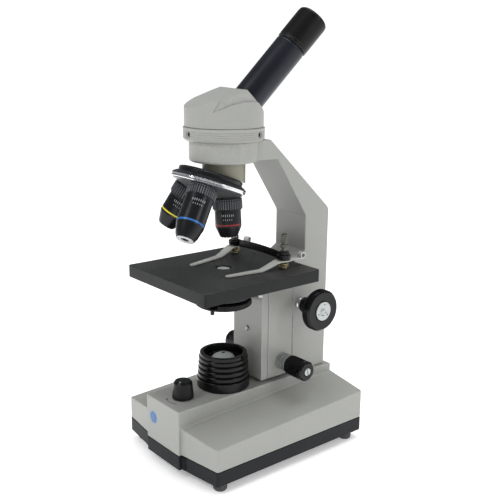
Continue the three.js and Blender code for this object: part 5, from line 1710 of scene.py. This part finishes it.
    def tube(self) -> None:
        """The tube, the eyepiece with its rounded lip, and the eye lens."""
        made, way, r = self.shop.finishes, self.tube_way(), self.tube_r
        start, end = self.tube_ends
        points = [(11.9, start), (r, start), (r, end - 1.6), (r - 0.25, end - 1.2), (r - 0.25, end - 0.3), (11.9, end)]
        Shape.lathe([*points, points[0]], 0.3, 120).moved(way).piece(
            "sight_tube", "head", made.tube, "black_anodised", ["eyepiece_tube"]
        )
        e, top, base = self.eyepiece_r, self.eyepiece_end, end + 0.3
        points = [(10.2, end - 26), (11.6, end - 26), (11.6, base), (e - 0.9, base), (e - 0.1, base + 0.9)]
        points += [(e - 0.1, base + 1.9), (e - 0.35, base + 2.2), (e - 0.35, base + 2.8), (e, base + 3.2)]
        points += [(e, top - 4.2), (e - 0.5, top - 1.6), (e - 1.9, top - 0.2), (e - 3.3, top - 0.1), (9.6, top - 2.4)]
        points += [(9.3, top - 3), (9.3, top - 9), (8, top - 9), (8, base + 4), (10.2, base + 4), (10.2, end - 26)]
        Shape.lathe(points, 0.8, 120).moved(way).piece(
            "eyepiece_barrel", "ocular", made.plastic, "black_plastic", ["eyepiece"]
        )
        lens = [(0, top - 8.4), (9, top - 8.4), (9, top - 5.6), (7, top - 4.7), (4, top - 4), (0, top - 3.8)]
        Shape.lathe(lens, 0.2, 72).moved(way).piece("eyepiece_glass", "ocular", made.glass, "glass", ["eye_lens"])

    def build(self) -> None:
        """Makes the collar, the head and the tube."""
        self.collar()
        self.body()
        self.tube()


# ---- Studio -------------------------------------------------------------------------------


@dataclass
class Studio:
    """The floor, the light and the camera."""

    place: tuple[float, float, float] = (0.53619, -0.43759, 0.35869)
    azimuth: float = 50.353
    pitch: float = 14.092
    roll: float = 0.642
    lens: float = 57.2155

    def camera(self) -> None:
        """The camera, looking down a little from the right front."""
        az, el, roll = (math.radians(a) for a in (self.azimuth, self.pitch, self.roll))
        back = Vector((math.sin(az) * math.cos(el), -math.cos(az) * math.cos(el), math.sin(el)))
        across = Vector((math.cos(az), math.sin(az), 0))
        rise = back.cross(across)
        right = across * math.cos(roll) + rise * math.sin(roll)
        up = rise * math.cos(roll) - across * math.sin(roll)
        data = bpy.data.cameras.new("camera")
        data.lens, data.sensor_width = self.lens, 36.0
        data.clip_start, data.clip_end = 0.01, 50.0
        item = bpy.data.objects.new("camera", data)
        turn = Matrix((right, up, back)).transposed().to_4x4()
        item.matrix_world = Matrix.Translation(Vector(self.place)) @ turn
        bpy.context.scene.collection.objects.link(item)
        bpy.context.scene.camera = item

    def floor(self) -> None:
        """A wide pale floor."""
        mesh = bpy.data.meshes.new("floor")
        reach, low = 40.0, -0.0002
        mesh.from_pydata([(-reach, -reach, low), (reach, -reach, low), (reach, reach, low), (-reach, reach, low)], [],
                         [(0, 1, 2, 3)])
        pale = bpy.data.materials.new("studio_floor")
        pale.use_nodes = True
        graph = Graph(pale.node_tree)
        shader = next(n for n in pale.node_tree.nodes if n.type == "BSDF_PRINCIPLED")
        place = graph.add("ShaderNodeTexCoord").outputs["Object"]
        noise = graph.add("ShaderNodeTexNoise", {"Vector": place, "Scale": 3.0}).outputs[0]
        pair = {0: noise, 6: (0.93, 0.93, 0.93, 1.0), 7: (0.95, 0.95, 0.95, 1.0)}
        shade = graph.add("ShaderNodeMix", pair, data_type="RGBA").outputs[2]
        graph.tree.links.new(shade, shader.inputs["Base Color"])
        shader.inputs["Roughness"].default_value = 0.9
        shader.inputs["Specular IOR Level"].default_value = 0.1
        shader.inputs["Emission Color"].default_value = (1.0, 1.0, 1.0, 1.0)
        shader.inputs["Emission Strength"].default_value = 0.26
        mesh.materials.append(pale)
        item = bpy.data.objects.new("floor", mesh)
        bpy.context.scene.collection.objects.link(item)

    def softbox(self, name: str, spot: Sequence[float], aim: Sequence[float], size: Point2, power: float) -> None:
        """A rectangular soft light.

        Args:
            name: the light's name.
            spot: where it stands, in metres.
            aim: what it points at.
            size: its width and height in metres.
            power: its power in watts.
        """
        data = bpy.data.lights.new(name, "AREA")
        data.shape, data.size, data.size_y, data.energy = "RECTANGLE", *size, power
        item = bpy.data.objects.new(name, data)
        way = Vector(spot) - Vector(aim)
        item.matrix_world = Matrix.Translation(Vector(spot)) @ way.to_track_quat("Z", "Y").to_matrix().to_4x4()
        bpy.context.scene.collection.objects.link(item)

    def light(self) -> None:
        """A pale surround and three soft boxes."""
        world = bpy.data.worlds.new("surround")
        world.use_nodes = True
        graph = Graph(world.node_tree)
        ground = next(n for n in world.node_tree.nodes if n.type == "BACKGROUND")
        ground.inputs[0].default_value = (1.0, 1.0, 1.0, 1.0)
        ground.inputs[1].default_value = 1.1
        soft = graph.add("ShaderNodeBackground", {0: (0.99, 0.995, 1.0, 1.0), 1: 0.86})
        dim = graph.add("ShaderNodeBackground", {0: (0.95, 0.97, 1.0, 1.0), 1: 0.24})
        path = graph.add("ShaderNodeLightPath").outputs
        shine = graph.add("ShaderNodeMixShader", {0: path["Is Glossy Ray"], 1: soft.outputs[0], 2: dim.outputs[0]})
        blend = graph.add("ShaderNodeMixShader", {0: path["Is Camera Ray"], 1: shine.outputs[0], 2: ground.outputs[0]})
        output = next(n for n in world.node_tree.nodes if n.type == "OUTPUT_WORLD")
        graph.tree.links.new(blend.outputs[0], output.inputs[0])
        bpy.context.scene.world = world
        middle = (0.0, 0.0, 0.18)
        self.softbox("key", (-0.1, -1.1, 1.2), middle, (0.3, 0.3), 5.5)
        self.softbox("side", (1.5, 0.5, 0.9), middle, (0.25, 0.6), 4.0)
        self.softbox("top", (0.1, 0.3, 1.9), middle, (1.0, 1.0), 15.0)

    def build(self) -> None:
        """Sets the camera, the floor and the lights, and plain colour handling."""
        self.camera()
        self.floor()
        self.light()
        bpy.context.scene.view_settings.view_transform = "Standard"


def main() -> None:
    """Builds every piece on the frame."""
    logging.basicConfig(level=logging.INFO, format="%(name)s: %(message)s")
    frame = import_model()
    shop = Workshop(Finishes(), Patterns(), frame["nodes"])
    for maker in (Base(shop), Lamp(shop), Arm(shop), Focus(shop), Stage(shop), Clips(shop), Turret(shop), Head(shop)):
        maker.build()
    Studio().build()


if __name__ == "__main__":
    main()
